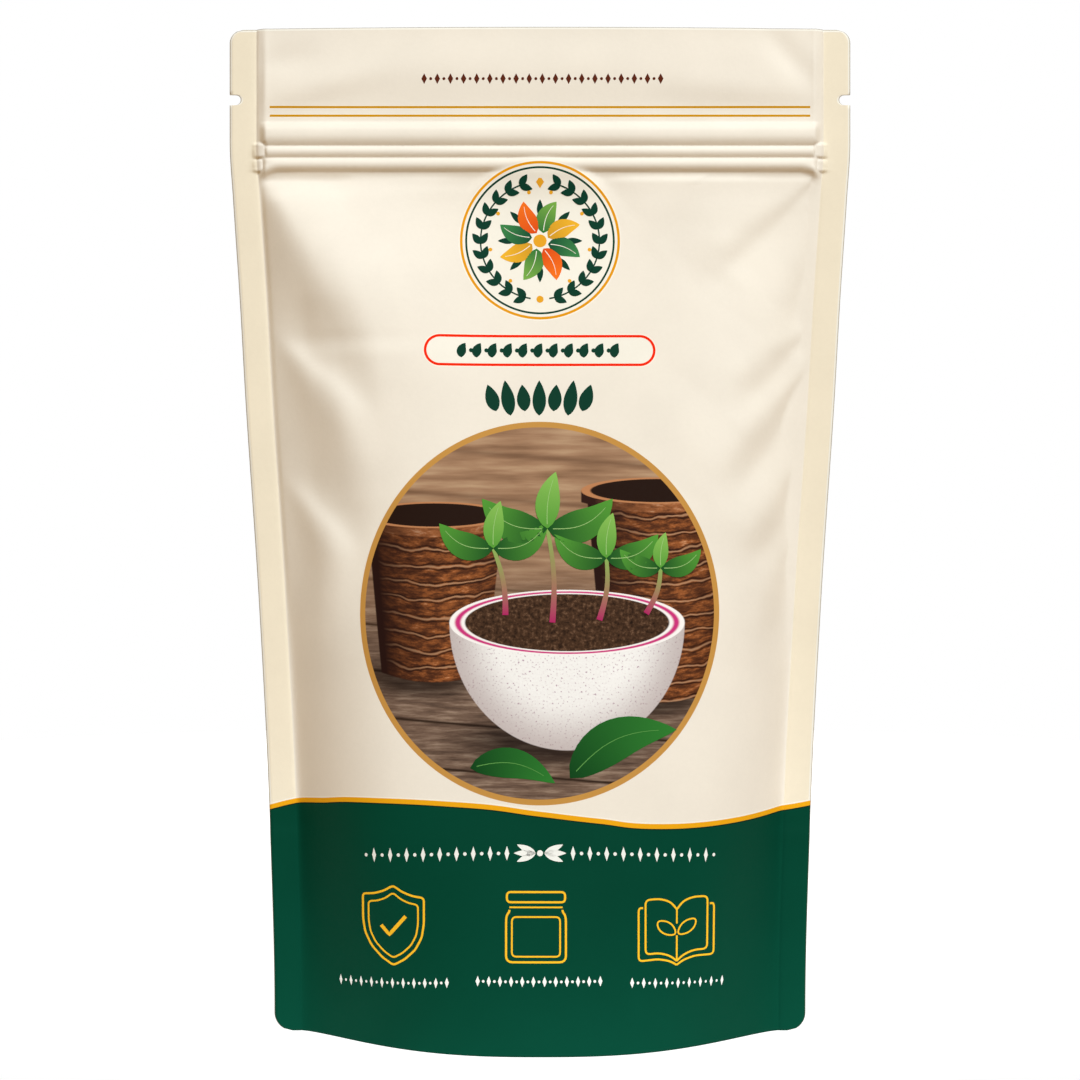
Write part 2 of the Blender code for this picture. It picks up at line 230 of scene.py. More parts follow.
CLAY_RIM = ((0.32, (0.085, 0.028, 0.012)), (0.55, (0.36, 0.125, 0.045)), (0.75, (0.70, 0.42, 0.26)))
CLAY_WORN = (0.50, 0.27, 0.15)
CLAY_GROOVE = (0.018, 0.006, 0.004)
CLAY_SHADE = (0.022, 0.008, 0.006)
CLAY_RIM_SHADE = (0.03, 0.011, 0.008)
CLAY_LIP = (0.50, 0.215, 0.095)
CLAY_MOUTH = (0.020, 0.009, 0.006)
IVORY = ((0.30, (0.42, 0.28, 0.36)), (0.38, (0.88, 0.85, 0.84)), (1.0, (0.97, 0.96, 0.95)))
IVORY_SHADE = (0.34, 0.24, 0.24)
IVORY_RIM = (0.95, 0.91, 0.90)
PINK = (0.60, 0.035, 0.20)
SOIL = ((0.32, (0.012, 0.006, 0.004)), (0.55, (0.075, 0.036, 0.019)), (0.78, (0.27, 0.15, 0.09)))
POT_SHADOW = (0.014, 0.008, 0.006)
BOWL_SHADOW = (0.012, 0.007, 0.006)
SEED_COATS = ((0.3, (0.13, 0.062, 0.026)), (0.55, (0.32, 0.18, 0.085)), (0.75, (0.52, 0.34, 0.18)))

# The studio, in metres. Each softbox has its place, size, watts and colour
POUCH_MIDDLE = (0.0, 0.0, 0.11)
KEY_LIGHT = ((0.42, -1.53, 1.34), 0.675, 44.6, (0.805, 0.925, 1.0))
REAR_LIGHT = ((-0.3, 1.1, 0.9), 0.9, 9.0, (0.84, 0.94, 1.0))
AMBIENT = (1.0, 0.58, 0.14)
AMBIENT_STRENGTH = 0.29
FLOOR_GLOW = 0.92
FLOOR_RADIUS = 0.45
FLOOR_MIDDLE = 0.395
CAMERA_PLACE = (0.0, -0.524, 0.1027)
CAMERA_LENS = 83.3


def between(knots, at):
    """A smooth curve through knots of (position, value), level past both ends."""
    places, values = (np.array(part, float) for part in zip(*knots))
    spans = np.diff(places)
    slopes = np.diff(values) / spans
    bends = np.zeros(len(places))
    both = slopes[:-1] * slopes[1:]
    turning = both > 0
    bends[1:-1][turning] = 2 * both[turning] / (slopes[:-1] + slopes[1:])[turning]
    at = np.clip(at, places[0], places[-1])
    i = np.clip(np.searchsorted(places, at, side="right") - 1, 0, len(spans) - 1)
    t = (at - places[i]) / spans[i]
    start, end = values[i], values[i + 1]
    curve = start * (1 + 2 * t) * (1 - t) ** 2 + end * t * t * (3 - 2 * t)
    return curve + spans[i] * (bends[i] * t * (1 - t) ** 2 - bends[i + 1] * t * t * (1 - t))


def smooth_step(low, high, at):
    """Zero below low, one above high, and smooth between."""
    t = np.clip((at - low) / (high - low), 0.0, 1.0)
    return t * t * (3 - 2 * t)


def fade(part, full, soft):
    """One at part 0, none at part 1 and past it."""
    return (1 - np.minimum(1.0, np.abs(part)) ** full) ** soft


def half_width(z):
    """Half the pouch's width at a height, without its rounded corners and notches."""
    return between(HALF_WIDTHS, z)


def edge_inset(z):
    """How far a rounded corner or a tear notch takes the side edge in."""
    inset = np.zeros_like(z)
    for radius, level in ((BASE_CORNER, z), (TOP_CORNER, HEIGHT - z)):
        short = np.clip(radius - level, 0.0, radius)
        inset += radius - np.sqrt(radius ** 2 - short ** 2)
    from_notch = np.abs(z - NOTCH_HEIGHT)
    arc = np.sqrt(np.maximum(NOTCH_RADIUS ** 2 - from_notch ** 2, 0.0))
    inside = from_notch < NOTCH_RADIUS + 0.001
    return inset + np.where(inside, NOTCH_DEPTH - NOTCH_RADIUS + arc, 0.0)


def across(x, z):
    """How much of the belly's depth a point has at its place between the side seals."""
    part = x / (half_width(z) - SEAL_BAND)
    blend = smooth_step(0.0, FULL_BELLY_FROM, z)
    low, high = fade(part, *BASE_ACROSS), fade(part, *BELLY_ACROSS)
    eased = 1 - blend * np.exp(-inside_seal(x, z) / SEAL_EASE)
    return (low + (high - low) * blend) * eased


def belly(x, z):
    """The round of a filled panel: full at the base, gone at the zip and the side seals."""
    rise = np.maximum(z, BASE_CORNER) / BELLY_TOP
    return BASE_DEPTH * fade(rise, *BELLY_RISE) * across(x, z)


def layers(x, z):
    """The mid-plane to the panel's film: there are two more layers beside the gusset."""
    at_seal = between(((GUSSET_TOP, 3 * LAYER), (GUSSET_TOP + 2.0, LAYER)), z)
    at_middle = between(((GUSSET_TOP, 3 * LAYER), (BELLY_TOP, LAYER)), z)
    return at_seal + (at_middle - at_seal) * across(x, z)


# The gusset's fold dips in the middle, and its film arches up to the fold
GUSSET_DIP = 12.5
GUSSET_CLIMB = 2.4
GUSSET_ARCH = 0.245
GUSSET_HEIGHT = 40.0


def fold_height(x):
    """The height of the gusset's fold at a place across the pouch."""
    inner = half_width(GUSSET_HEIGHT / 2) - SEAL_BAND
    climb = np.minimum(1.0, np.abs(x / inner)) ** GUSSET_CLIMB
    return GUSSET_DIP + (GUSSET_HEIGHT - GUSSET_DIP) * climb


def inside_seal(x, z):
    """How far a point lies inside the seal's inner line."""
    return np.maximum(half_width(z) - SEAL_BAND - np.abs(x), 0.0)


def zip_lift(x, z):
    """The zip's ridges, which end crushed into the seals, and the header's puff."""
    out = np.abs(x)
    sag = 1.8 * smooth_step(54.0, 59.6, out) ** 1.5 * (1 - smooth_step(180.8, 182.6, z))
    level = z + sag
    lift = between(ZIP_BASE, level)
    for foot, crest, top, rise in ZIP_RIDGES:
        part = np.where(level < crest, (crest - level) / (crest - foot), (level - crest) / (top - crest))
        lift = lift + rise * np.maximum(1 - part ** 2, 0.0)
    reach = 1 - smooth_step(*ZIP_RIDGE_REACH, out)
    for (middle, height), half_height, end, rise in ZIP_ENDS:
        plateau = smooth_step(-0.5, 0.5, half_height - np.abs(z - height))
        plateau = plateau * smooth_step(-0.9, 0.9, end - out) * smooth_step(-0.5, 0.5, out - middle)
        lift = lift * (1 - plateau) + rise * plateau
        reach = np.maximum(reach, plateau)
    return lift * reach


def lip(x, z):
    """How the film stands up beside its side seals, with a soft bead in the header."""
    inside = inside_seal(x, z)
    bead = HEADER_BEAD * smooth_step(187.0, 190.0, z) * np.exp(-((inside - 1.9) / 0.75) ** 2)
    return between(LIP, z) * (1 - np.exp(-inside / LIP_REACH)) + bead


def weld(x, z):
    """How the welded band rises from a narrow line along the seal."""
    outside = np.maximum(np.abs(x) - (half_width(z) - SEAL_BAND), 0.0)
    return WELD_RISE * (1 - np.exp(-outside / between(WELD_REACH, z)))


def header_waves(x, z):
    """The header's soft dents and crests."""
    total = np.zeros(np.shape(x))
    for (middle, height), turn, along, over, rise in HEADER_WAVES:
        cosine, sine = math.cos(math.radians(turn)), math.sin(math.radians(turn))
        u = (x - middle) * cosine + (z - height) * sine
        v = (z - height) * cosine - (x - middle) * sine
        total = total + rise * np.exp(-((u / along) ** 2 + (v / over) ** 2) / 2)
    return total * (1 - np.exp(-((inside_seal(x, z) / 1.2) ** 2))) * smooth_step(190.5, 193.5, z)


def curve_points(points, count=48):
    """A smooth curve through a fold's points, as (x, z) samples."""
    points = np.array(points, float)
    steps = np.hypot(*np.diff(points, axis=0).T)
    along = np.concatenate([[0.0], np.cumsum(steps)])
    at = np.linspace(0.0, along[-1], count)
    return np.stack([between(list(zip(along, points[:, i])), at) for i in range(2)], axis=1)


def softened(distance, reach):
    """The distance's size with its corner at zero rounded over a reach."""
    part = np.abs(distance) / reach
    return reach * (part + np.log1p(np.exp(-2 * part)) - math.log(2))


def fold_offset(fold, x, z):
    """One fold: a crest along its line, and below it a steep flank down to a soft dent."""
    points, slope, flank, corner, opening = fold
    line = curve_points(points)
    nearest = np.full(x.shape, 1e9)
    along = np.zeros(x.shape)
    signed = np.zeros(x.shape)
    rising = 1.0 if line[-1, 0] > line[0, 0] else -1.0
    for i in range(len(line) - 1):
        start, step = line[i], line[i + 1] - line[i]
        t = ((x - start[0]) * step[0] + (z - start[1]) * step[1]) / (step @ step)
        t = np.clip(t, 0.0, 1.0)
        dx, dz = x - start[0] - t * step[0], z - start[1] - t * step[1]
        distance = np.hypot(dx, dz)
        closer = distance < nearest
        nearest = np.where(closer, distance, nearest)
        along = np.where(closer, (i + t) / (len(line) - 1), along)
        side = np.sign(step[0] * dz - step[1] * dx) * rising
        signed = np.where(closer, side * distance, signed)
    grown = opening + (1 - opening) * smooth_step(0.0, FOLD_GROWN, along)
    fading = 1 - smooth_step(FOLD_FADES, 1.0, along)
    wide, crest, foot = flank * grown, corner * grown, 0.3 * flank * grown
    rise = (softened(signed + wide, foot) - softened(signed, crest) + (foot - crest) * math.log(2)) / 2
    past = np.maximum(signed, 0.0) / (FOLD_RETURN * grown)
    under = np.maximum(-signed - wide, 0.0) / (FOLD_DENT * grown)
    return slope * fading * rise * np.exp(-(past ** 2 + under ** 2) / 2)


def wedge_offset(wedge, x, z):
    """A wedge beside one seal: the film falls straight from a crest to the seal, but along
    each band, which runs in and down from the seal, it comes forward in a soft step."""
    side, crest, slopes, bands = wedge
    out = side * x
    place, slope = between(crest, z), between(slopes, z)
    tilt = between(crest, z + 0.5) - between(crest, z - 0.5)
    straight = 1 / np.sqrt(1 + tilt ** 2)
    inner = half_width(z) - SEAL_BAND
    wide = np.maximum(inner - place, 0.0)
    past = (out - place) * straight
    corner = WEDGE_CORNER + WEDGE_SOFTENS * wide
    down = corner * np.logaddexp(0.0, past / corner)
    filled = belly(place + WEDGE_TAKES * np.logaddexp(0.0, (out - place) / WEDGE_TAKES), z)
    back = np.exp(-((np.minimum(past, 0.0) / WEDGE_RETURN) ** 2) / 2)
    ends = smooth_step(crest[0][0], crest[0][0] + WEDGE_FADES, z)
    total = (slope * (wide * straight - down) - filled) * back * ends
    inside = np.maximum(inner - out, 0.0)
    for height, lean, rate, tail in bands:
        level = (z - height + lean * inside) / math.hypot(1.0, lean)
        soft = BAND_STARTS + BAND_OPENS * np.minimum(inside, wide + 4.0)
        reach = smooth_step(0.0, 9.0, inside) * (1 - smooth_step(wide - 1.0, wide + 9.0, inside))
        total = total - rate * soft * np.tanh(level / soft) * np.exp(-np.abs(level) / tail) * reach
    return total * smooth_step(0.0, 22.0, out)


def folds_offset(folds, x, z):
    """The sum of a panel's folds, held down beside the seals."""
    lines, wedges = folds
    total = sum(fold_offset(fold, x, z) for fold in lines)
    total = total * (1 - np.exp(-((inside_seal(x, z) / 1.6) ** 2)))
    straight = sum(wedge_offset(wedge, x, z) for wedge in wedges)
    return total + straight * (1 - np.exp(-((inside_seal(x, z) / 0.7) ** 2)))


def soft_waves(x, z, phase):
    """Slow waves that every filled film has, a few tenths of a millimetre high."""
    slow = np.sin(x / 9.5 + z / 23 + phase) * np.sin(z / 17 - x / 31 + 2 * phase)
    quick = np.sin(x / 5.1 - z / 8.7 + 3 * phase) * np.sin(z / 11.3 + x / 7.9 + phase)
    reach = smooth_step(0.0, 12.0, inside_seal(x, z))
    return (0.16 * slow + 0.05 * quick) * reach


def pressed_lift(x, z):
    """The zip's lift where the round badge's stiff print smooths the lowest ridge's foot."""
    out = np.hypot(x - BADGE[0], z - BADGE[1])
    under_badge = 1 - smooth_step(BADGE_RADIUS - 0.5, BADGE_RADIUS + 1.6, out)
    smoothed = np.maximum(zip_lift(x, z), between(BADGE_FOOT, z))
    return zip_lift(x, z) * (1 - under_badge) + smoothed * under_badge


def panel_depth(x, z, folds, phase):
    """The mid-plane to the middle of a panel's film."""
    round_part = belly(x, z)
    above_gusset = smooth_step(0.0, 18.0, z - fold_height(x))
    held = above_gusset * (1 - smooth_step(177.5, 179.5, z))
    moved = (folds_offset(folds, x, z) + soft_waves(x, z, phase)) * held
    shaped = np.maximum(round_part + moved, LEAST_BELLY * round_part)
    pressed = lip(x, z) + weld(x, z) + header_waves(x, z)
    lift = pressed_lift(x, z) if folds is FOLDS[FRONT] else zip_lift(x, z)
    return layers(x, z) + pressed + lift + shaped


# The wedges beside the seals, each as its side, the (height, place across) of its crest, the
# (height, slope) of its fall and its bands' height at the seal, lean, step and reach
FRONT_WEDGES = (
    (-1, ((78.0, 46.0), (90.0, 45.4), (100.0, 43.8), (111.0, 41.6), (121.0, 40.8), (135.0, 40.8),
          (141.0, 41.2), (146.0, 42.6), (153.0, 45.4), (158.3, 47.6), (163.5, 50.0), (168.8, 52.6),
          (174.0, 55.5), (178.8, 59.2)),
     ((78.0, 0.80), (110.0, 0.74), (130.0, 0.72), (143.0, 0.74), (153.0, 0.91), (163.0, 1.06),
      (178.0, 1.12)),
     ((147.0, 0.84, 0.62, 10.0), (117.5, 1.00, 0.60, 10.0))),
)

# The other folds that run in from the side seals. Each has the points (x, z) of its crest from
# the seal on, its flank's slope and width, how round its crest is, and the part of it at the start
FRONT_FOLDS = (
    (((-38.8, 177.6), (-33.5, 172.7), (-27.2, 166.9)), 0.10, 6.0, 3.0, 0.60),
    (((56.8, 178.0), (54.0, 175.6), (50.0, 172.6), (45.6, 169.8), (41.2, 166.4),
      (36.4, 161.8), (32.0, 156.0)), 0.52, 3.8, 1.8, 0.25),
    (((55.6, 170.6), (54.4, 163.6), (52.4, 157.2), (49.6, 151.2), (46.0, 145.6)), 0.45, 5.0, 2.2, 0.35),
    (((56.6, 147.0), (52.6, 144.8), (48.6, 142.4), (44.4, 139.2), (40.2, 135.4),
      (36.0, 130.6)), 0.54, 4.4, 1.9, 0.30),
    (((56.2, 139.4), (53.0, 135.4), (48.6, 130.6), (43.8, 125.6), (39.8, 120.6),
      (36.4, 115.6), (33.4, 110.4)), 0.70, 5.2, 1.9, 0.28),
    (((55.2, 120.6), (52.2, 116.4), (48.8, 111.6), (45.0, 106.6), (41.2, 101.6),
      (38.2, 96.6)), 0.60, 4.6, 1.8, 0.30),
    (((53.9, 104.0), (51.6, 100.6), (48.8, 96.0), (46.4, 90.2), (45.0, 83.4),
      (44.6, 76.0)), 0.38, 4.0, 1.8, 0.35),
    (((31.3, 176.5), (26.0, 173.1), (20.8, 169.5)), 0.10, 6.0, 3.0, 0.60),
)
BACK_FOLDS = (
    (((-57.5, 177.5), (-52.0, 168.5), (-44.5, 159.0), (-36.0, 150.0)), 0.50, 5.6, 1.8, 0.25),
    (((-56.5, 152.0), (-51.0, 145.0), (-45.0, 136.0), (-41.0, 128.0)), 0.55, 5.2, 1.8, 0.25),
    (((-55.5, 124.0), (-51.0, 117.0), (-47.0, 108.0)), 0.45, 4.6, 1.8, 0.30),
    (((55.5, 131.0), (51.0, 124.0), (46.0, 115.0), (43.5, 106.0)), 0.45, 4.6, 1.8, 0.30),
)

BACK_WEDGES = (
    (1, ((84.0, 46.0), (100.0, 44.0), (120.0, 42.0), (138.0, 42.0), (146.0, 43.6), (155.0, 47.0),
         (166.0, 52.0), (178.8, 59.2)),
     ((84.0, 0.78), (110.0, 0.72), (143.0, 0.66), (163.0, 0.80), (178.0, 0.85)),
     ((143.0, 0.84, 0.56, 10.0), (112.0, 0.86, 0.56, 10.0))),
)

FRONT, BACK = -1, 1
FOLDS = {FRONT: (FRONT_FOLDS, FRONT_WEDGES), BACK: (BACK_FOLDS, BACK_WEDGES)}
PHASES = {FRONT: 0.6, BACK: 2.9}

# Where the flat film comes to lie: its place across by height, from its length along the belly
TABLE_HEIGHTS = np.linspace(0.0, HEIGHT, 421)
TABLE_ACROSS = np.linspace(0.0, FREE_HALF, 239)


def lay_table():
    """For each height and each place on the flat film, the place across the filled pouch."""
    rows = []
    for z in TABLE_HEIGHTS:
        x = np.linspace(0.0, float(half_width(z)) - SEAL_BAND, 400)
        run = np.hypot(np.diff(x), np.diff(belly(x, z)))
        flat = np.concatenate([[0.0], np.cumsum(run)])
        rows.append(np.interp(TABLE_ACROSS, flat * FREE_HALF / flat[-1], x))
    return np.array(rows)


LAY_TABLE = lay_table()


def place_across(s, z, cut_edge=False):
    """Where points of the flat film, at s across and z up, come to lie across the pouch."""
    flat = np.abs(s)
    row = np.clip(z / HEIGHT, 0, 1) * (len(TABLE_HEIGHTS) - 1)
    column = np.clip(flat / FREE_HALF, 0, 1) * (len(TABLE_ACROSS) - 1)
    i = np.minimum(row.astype(int), len(TABLE_HEIGHTS) - 2)
    j = np.minimum(column.astype(int), len(TABLE_ACROSS) - 2)
    p, q = row - i, column - j
    low = LAY_TABLE[i, j] * (1 - q) + LAY_TABLE[i, j + 1] * q
    high = LAY_TABLE[i + 1, j] * (1 - q) + LAY_TABLE[i + 1, j + 1] * q
    free = low * (1 - p) + high * p
    narrowed = 1 - edge_inset(z) / SEAL_BAND if cut_edge else 1.0
    sealed = half_width(z) - SEAL_BAND + (flat - FREE_HALF) * narrowed
    return np.sign(s) * np.where(flat <= FREE_HALF, free, sealed)


def outer_face(side, x, z):
    """The mid-plane to a panel's outer face."""
    return panel_depth(x, z, FOLDS[side], PHASES[side]) + FILM / 2


def on_film(side, x, z, lift=0.0):
    """Points on a panel's outer face, lifted along its normal, and the normals."""
    reach = 0.05
    depth = outer_face(side, x, z)
    slope_x = (outer_face(side, x + reach, z) - outer_face(side, x - reach, z)) / (2 * reach)
    slope_z = (outer_face(side, x, z + reach) - outer_face(side, x, z - reach)) / (2 * reach)
    normal = np.stack([-slope_x, np.full_like(x, side), -slope_z], axis=1)
    normal /= np.linalg.norm(normal, axis=1)[:, None]
    points = np.stack([x, side * depth, z], axis=1)
    return points + normal * lift, normal


def finish_mesh(name, mesh, materials, smooth=True):
    """An object at the origin with its materials."""
    if smooth:
        mesh.shade_smooth()
    made = bpy.data.objects.new(name, mesh)
    for material in materials:
        mesh.materials.append(material)
    bpy.context.scene.collection.objects.link(made)
    return made


def apply_modifiers(made):
    """The object's mesh becomes what its modifiers make of it."""
    bpy.context.view_layer.update()
    evaluated = made.evaluated_get(bpy.context.evaluated_depsgraph_get())
    mesh = bpy.data.meshes.new_from_object(evaluated)
    made.modifiers.clear()
    made.data = mesh
    return made


def spaced(*runs):
    """Heights or widths in runs of (start, end, step), each start counted once."""
    parts = [np.arange(0, math.ceil((end - start) / step - 1e-9)) for start, end, step in runs]
    made = [start + (end - start) * part / len(part) for (start, end, _), part in zip(runs, parts)]
    return np.concatenate(made + [[runs[-1][1]]])


def panel_heights():
    """The heights of a panel's rows, close together where its film bends."""
    runs = (
        (0.0, BASE_CORNER, 0.5),
        (BASE_CORNER, 40.0, 1.3),
        (40.0, 176.0, 1.0),
        (176.0, 179.4, 0.4),
        (179.4, 191.4, 0.2),
        (191.4, HEIGHT - TOP_CORNER, 0.8),
        (HEIGHT - TOP_CORNER, HEIGHT, 0.35),
    )
    heights = spaced(*runs)
    near = np.abs(heights - NOTCH_HEIGHT) < NOTCH_RADIUS + 0.3
    notch = NOTCH_HEIGHT + NOTCH_RADIUS * np.array([-1, -0.95, -0.8, -0.55, -0.3, 0, 0.3, 0.55, 0.8, 0.95, 1])
    lips = NOTCH_HEIGHT + (NOTCH_RADIUS + 0.03) * np.array([-1, 1])
    return np.sort(np.concatenate([heights[~near], notch, lips]))


def panel_columns():
    """The columns of the flat film, close together beside the side seals."""
    runs = (
        (0.0, 34.0, 1.0),
        (34.0, 56.6, 0.6),
        (56.6, FREE_HALF, 0.2),
        (FREE_HALF, FREE_HALF + 1.2, 0.2),
        (FREE_HALF + 1.2, HALF_FLAT, 0.9),
    )
    half = spaced(*runs)
    return np.concatenate([-half[:0:-1], half])


def grid_mesh(name, points, film):
    """A mesh of a grid of points. Its UV maps are the flat film's places and the places seen
    from the front, both in metres."""
    rows, columns = points.shape[:2]
    index = np.arange(rows * columns).reshape(rows, columns)
    corners = (index[:-1, :-1], index[:-1, 1:], index[1:, 1:], index[1:, :-1])
    faces = np.stack([corner.ravel() for corner in corners], axis=1)
    mesh = bpy.data.meshes.new(name)
    mesh.from_pydata((points.reshape(-1, 3) * MM).tolist(), [], faces.tolist())
    layer = mesh.uv_layers.new(name="film")
    flat = (film.reshape(-1, 2) * MM)[faces.ravel()]
    layer.data.foreach_set("uv", flat.ravel())
    layer = mesh.uv_layers.new(name="front view")
    seen = (points[:, :, (0, 2)].reshape(-1, 2) * MM)[faces.ravel()]
    layer.data.foreach_set("uv", seen.ravel())
    mesh.update()
    return mesh


def face_outwards(mesh, outward):
    """Turn the mesh over if its first faces don't look along the given direction."""
    total = sum((np.array(face.normal) for face in mesh.polygons[:50]), np.zeros(3))
    if total @ np.array(outward) < 0:
        mesh.flip_normals()


def thicken(made, thickness):
    """Give a film its thickness inwards: material 1 lines it and material 2 is its cut edge."""
    wall = made.modifiers.new("film thickness", "SOLIDIFY")
    wall.thickness = thickness * MM
    wall.offset = -1.0
    wall.material_offset = 1
    wall.material_offset_rim = 2
    return apply_modifiers(made)


def make_panel(name, side, materials):
    """A whole panel: film, side seals, zip ridges, header and belly."""
    heights, columns = panel_heights(), panel_columns()
    s, z = np.meshgrid(columns, heights)
    x = place_across(s, z, cut_edge=True)
    rim_bow = RIM_BOW * (1 - (x / HALF_FLAT) ** 2)
    top = z * (1 + (rim_bow - RIM_BOW) / HEIGHT * smooth_step(198.0, HEIGHT, z))
    points = np.stack([x, side * outer_face(side, x, z), top], axis=2)
    sealed = np.sign(s) * (FREE_HALF + np.abs(x) - half_width(z) + SEAL_BAND)
    flat = np.where(np.abs(s) > FREE_HALF, sealed, s)
    mesh = grid_mesh(name, points, np.stack([flat, z], axis=2))
    to_side = np.maximum(half_width(z) - edge_inset(z) - np.abs(x), 0.0)
    to_edge = mesh.attributes.new("to edge", "FLOAT", "POINT")
    to_edge.data.foreach_set("value", np.minimum(to_side, HEIGHT - z).ravel())
    face_outwards(mesh, (0, side, 0))
    return thicken(finish_mesh(name, mesh, materials), FILM)


class Nodes:
    """Adds nodes to one material's tree. Film places are in millimetres on the flat film."""

    def __init__(self, material):
        self.tree = material.node_tree
        self.shader = self.tree.nodes["Principled BSDF"]

    def add(self, kind, **settings):
        """A new node with its settings."""
        made = self.tree.nodes.new(kind)
        for name, value in settings.items():
            setattr(made, name, value)
        return made

    def feed(self, socket, value):
        """Link a socket to another node's output, or give it a plain value."""
        if isinstance(value, bpy.types.NodeSocket):
            self.tree.links.new(value, socket)
        else:
            socket.default_value = value

    def math(self, operation, *values):
        """The result of one Math node."""
        made = self.add("ShaderNodeMath", operation=operation)
        for socket, value in zip(made.inputs, values):
            self.feed(socket, value)
        return made.outputs[0]

    def rescaled(self, value, low, high, to_low, to_high, kind="LINEAR"):
        """A value brought from one range into another."""
        made = self.add("ShaderNodeMapRange", interpolation_type=kind)
        self.feed(made.inputs["Value"], value)
        ends = (("From Min", low), ("From Max", high), ("To Min", to_low), ("To Max", to_high))
        for label, end in ends:
            made.inputs[label].default_value = end
        return made.outputs["Result"]

    def under(self, value, edge=0.0, soft=0.07):
        """One where a value is under an edge, none where it is over it."""
        return self.rescaled(value, edge - soft / 2, edge + soft / 2, 1.0, 0.0, "SMOOTHSTEP")

    def blend(self, mask, below, above):
        """One colour laid over another where the mask is one."""
        made = self.add("ShaderNodeMix", data_type="RGBA")
        self.feed(made.inputs[0], mask)
        self.feed(made.inputs[6], below if isinstance(below, bpy.types.NodeSocket) else (*below, 1.0))
        self.feed(made.inputs[7], above if isinstance(above, bpy.types.NodeSocket) else (*above, 1.0))
        return made.outputs[2]

    def both(self, *masks):
        """Masks multiplied together."""
        product = masks[0]
        for mask in masks[1:]:
            product = self.math("MULTIPLY", product, mask)
        return product

    def noise(self, vector, scale, detail=2.0, roughness=0.5):
        """A noise value about 0.5."""
        made = self.add("ShaderNodeTexNoise")
        self.feed(made.inputs["Vector"], vector)
        made.inputs["Scale"].default_value = scale
        made.inputs["Detail"].default_value = detail
        made.inputs["Roughness"].default_value = roughness
        return made.outputs["Fac"]

    def ramp(self, value, *stops):
        """A colour for a value, through stops of (position, colour)."""
        made = self.add("ShaderNodeValToRGB")
        elements = made.color_ramp.elements
        while len(elements) < len(stops):
            elements.new(1.0)
        for element, (position, colour) in zip(elements, stops):
            element.position = position
            element.color = (*colour, 1.0)
        self.feed(made.inputs[0], value)
        return made.outputs[0]

    def film_places(self, layer="film"):
        """The place across and the height in a UV map, in millimetres, and both at once."""
        source = self.add("ShaderNodeUVMap", uv_map=layer)
        larger = self.add("ShaderNodeVectorMath", operation="SCALE")
        self.feed(larger.inputs[0], source.outputs[0])
        larger.inputs["Scale"].default_value = 1 / MM
        parts = self.add("ShaderNodeSeparateXYZ")
        self.feed(parts.inputs[0], larger.outputs[0])
        return parts.outputs[0], parts.outputs[1], larger.outputs[0]

    def together(self, x, y):
        """A vector of two values."""
        made = self.add("ShaderNodeCombineXYZ")
        self.feed(made.inputs[0], x)
        self.feed(made.inputs[1], y)
        return made.outputs[0]

    def object_places(self):
        """The piece's own places, in metres."""
        return self.add("ShaderNodeTexCoord").outputs["Object"]

    def bump(self, height, depth, strength=1.0):
        """Relief of a depth in millimetres, fed to the shader."""
        made = self.add("ShaderNodeBump")
        made.inputs["Distance"].default_value = depth * MM
        made.inputs["Strength"].default_value = strength
        self.feed(made.inputs["Height"], height)
        self.feed(self.shader.inputs["Normal"], made.outputs[0])

    def distance_to(self, s, z, centre, radii=(1.0, 1.0)):
        """The distance from a centre, in parts of two radii."""
        dx = self.math("DIVIDE", self.math("SUBTRACT", s, centre[0]), radii[0])
        dz = self.math("DIVIDE", self.math("SUBTRACT", z, centre[1]), radii[1])
        squares = self.math("ADD", self.math("MULTIPLY", dx, dx), self.math("MULTIPLY", dz, dz))
        return self.math("SQRT", squares)

    def line(self, value, centre, width, soft=0.07):
        """A line of a width about a value."""
        return self.under(self.math("ABSOLUTE", self.math("SUBTRACT", value, centre)), width / 2, soft)


def new_material(name, colour, roughness, **sockets):
    """A Principled material with what its shader's own sockets hold."""
    made = bpy.data.materials.new(name)
    made.use_nodes = True
    shader = made.node_tree.nodes["Principled BSDF"]
    shader.inputs["Base Color"].default_value = (*colour, 1.0)
    shader.inputs["Roughness"].default_value = roughness
    for socket, value in sockets.items():
        shader.inputs[socket.replace("_", " ")].default_value = value
    made.diffuse_color = (*colour, 1.0)
    return made


def film_texture(nodes, colour):
    """The film's faint mottling and its fine, short-fibred matt relief."""
    places = nodes.object_places()
    fibres = nodes.noise(places, 1100.0, 4.0, 0.62)
    clouds = nodes.noise(places, 55.0, 3.0, 0.55)
    mottled = nodes.math("ADD", nodes.math("MULTIPLY", fibres, 0.35), clouds)
    scaled = nodes.add("ShaderNodeVectorMath", operation="SCALE")
    nodes.feed(scaled.inputs[0], colour)
    nodes.feed(scaled.inputs["Scale"], nodes.rescaled(mottled, 0.45, 0.90, 0.965, 1.025))
    nodes.feed(nodes.shader.inputs["Base Color"], scaled.outputs[0])
    nodes.feed(nodes.shader.inputs["Roughness"], nodes.rescaled(fibres, 0.3, 0.7, 0.52, 0.66))
    nodes.bump(nodes.math("ADD", fibres, nodes.math("MULTIPLY", clouds, 0.5)), 0.018)


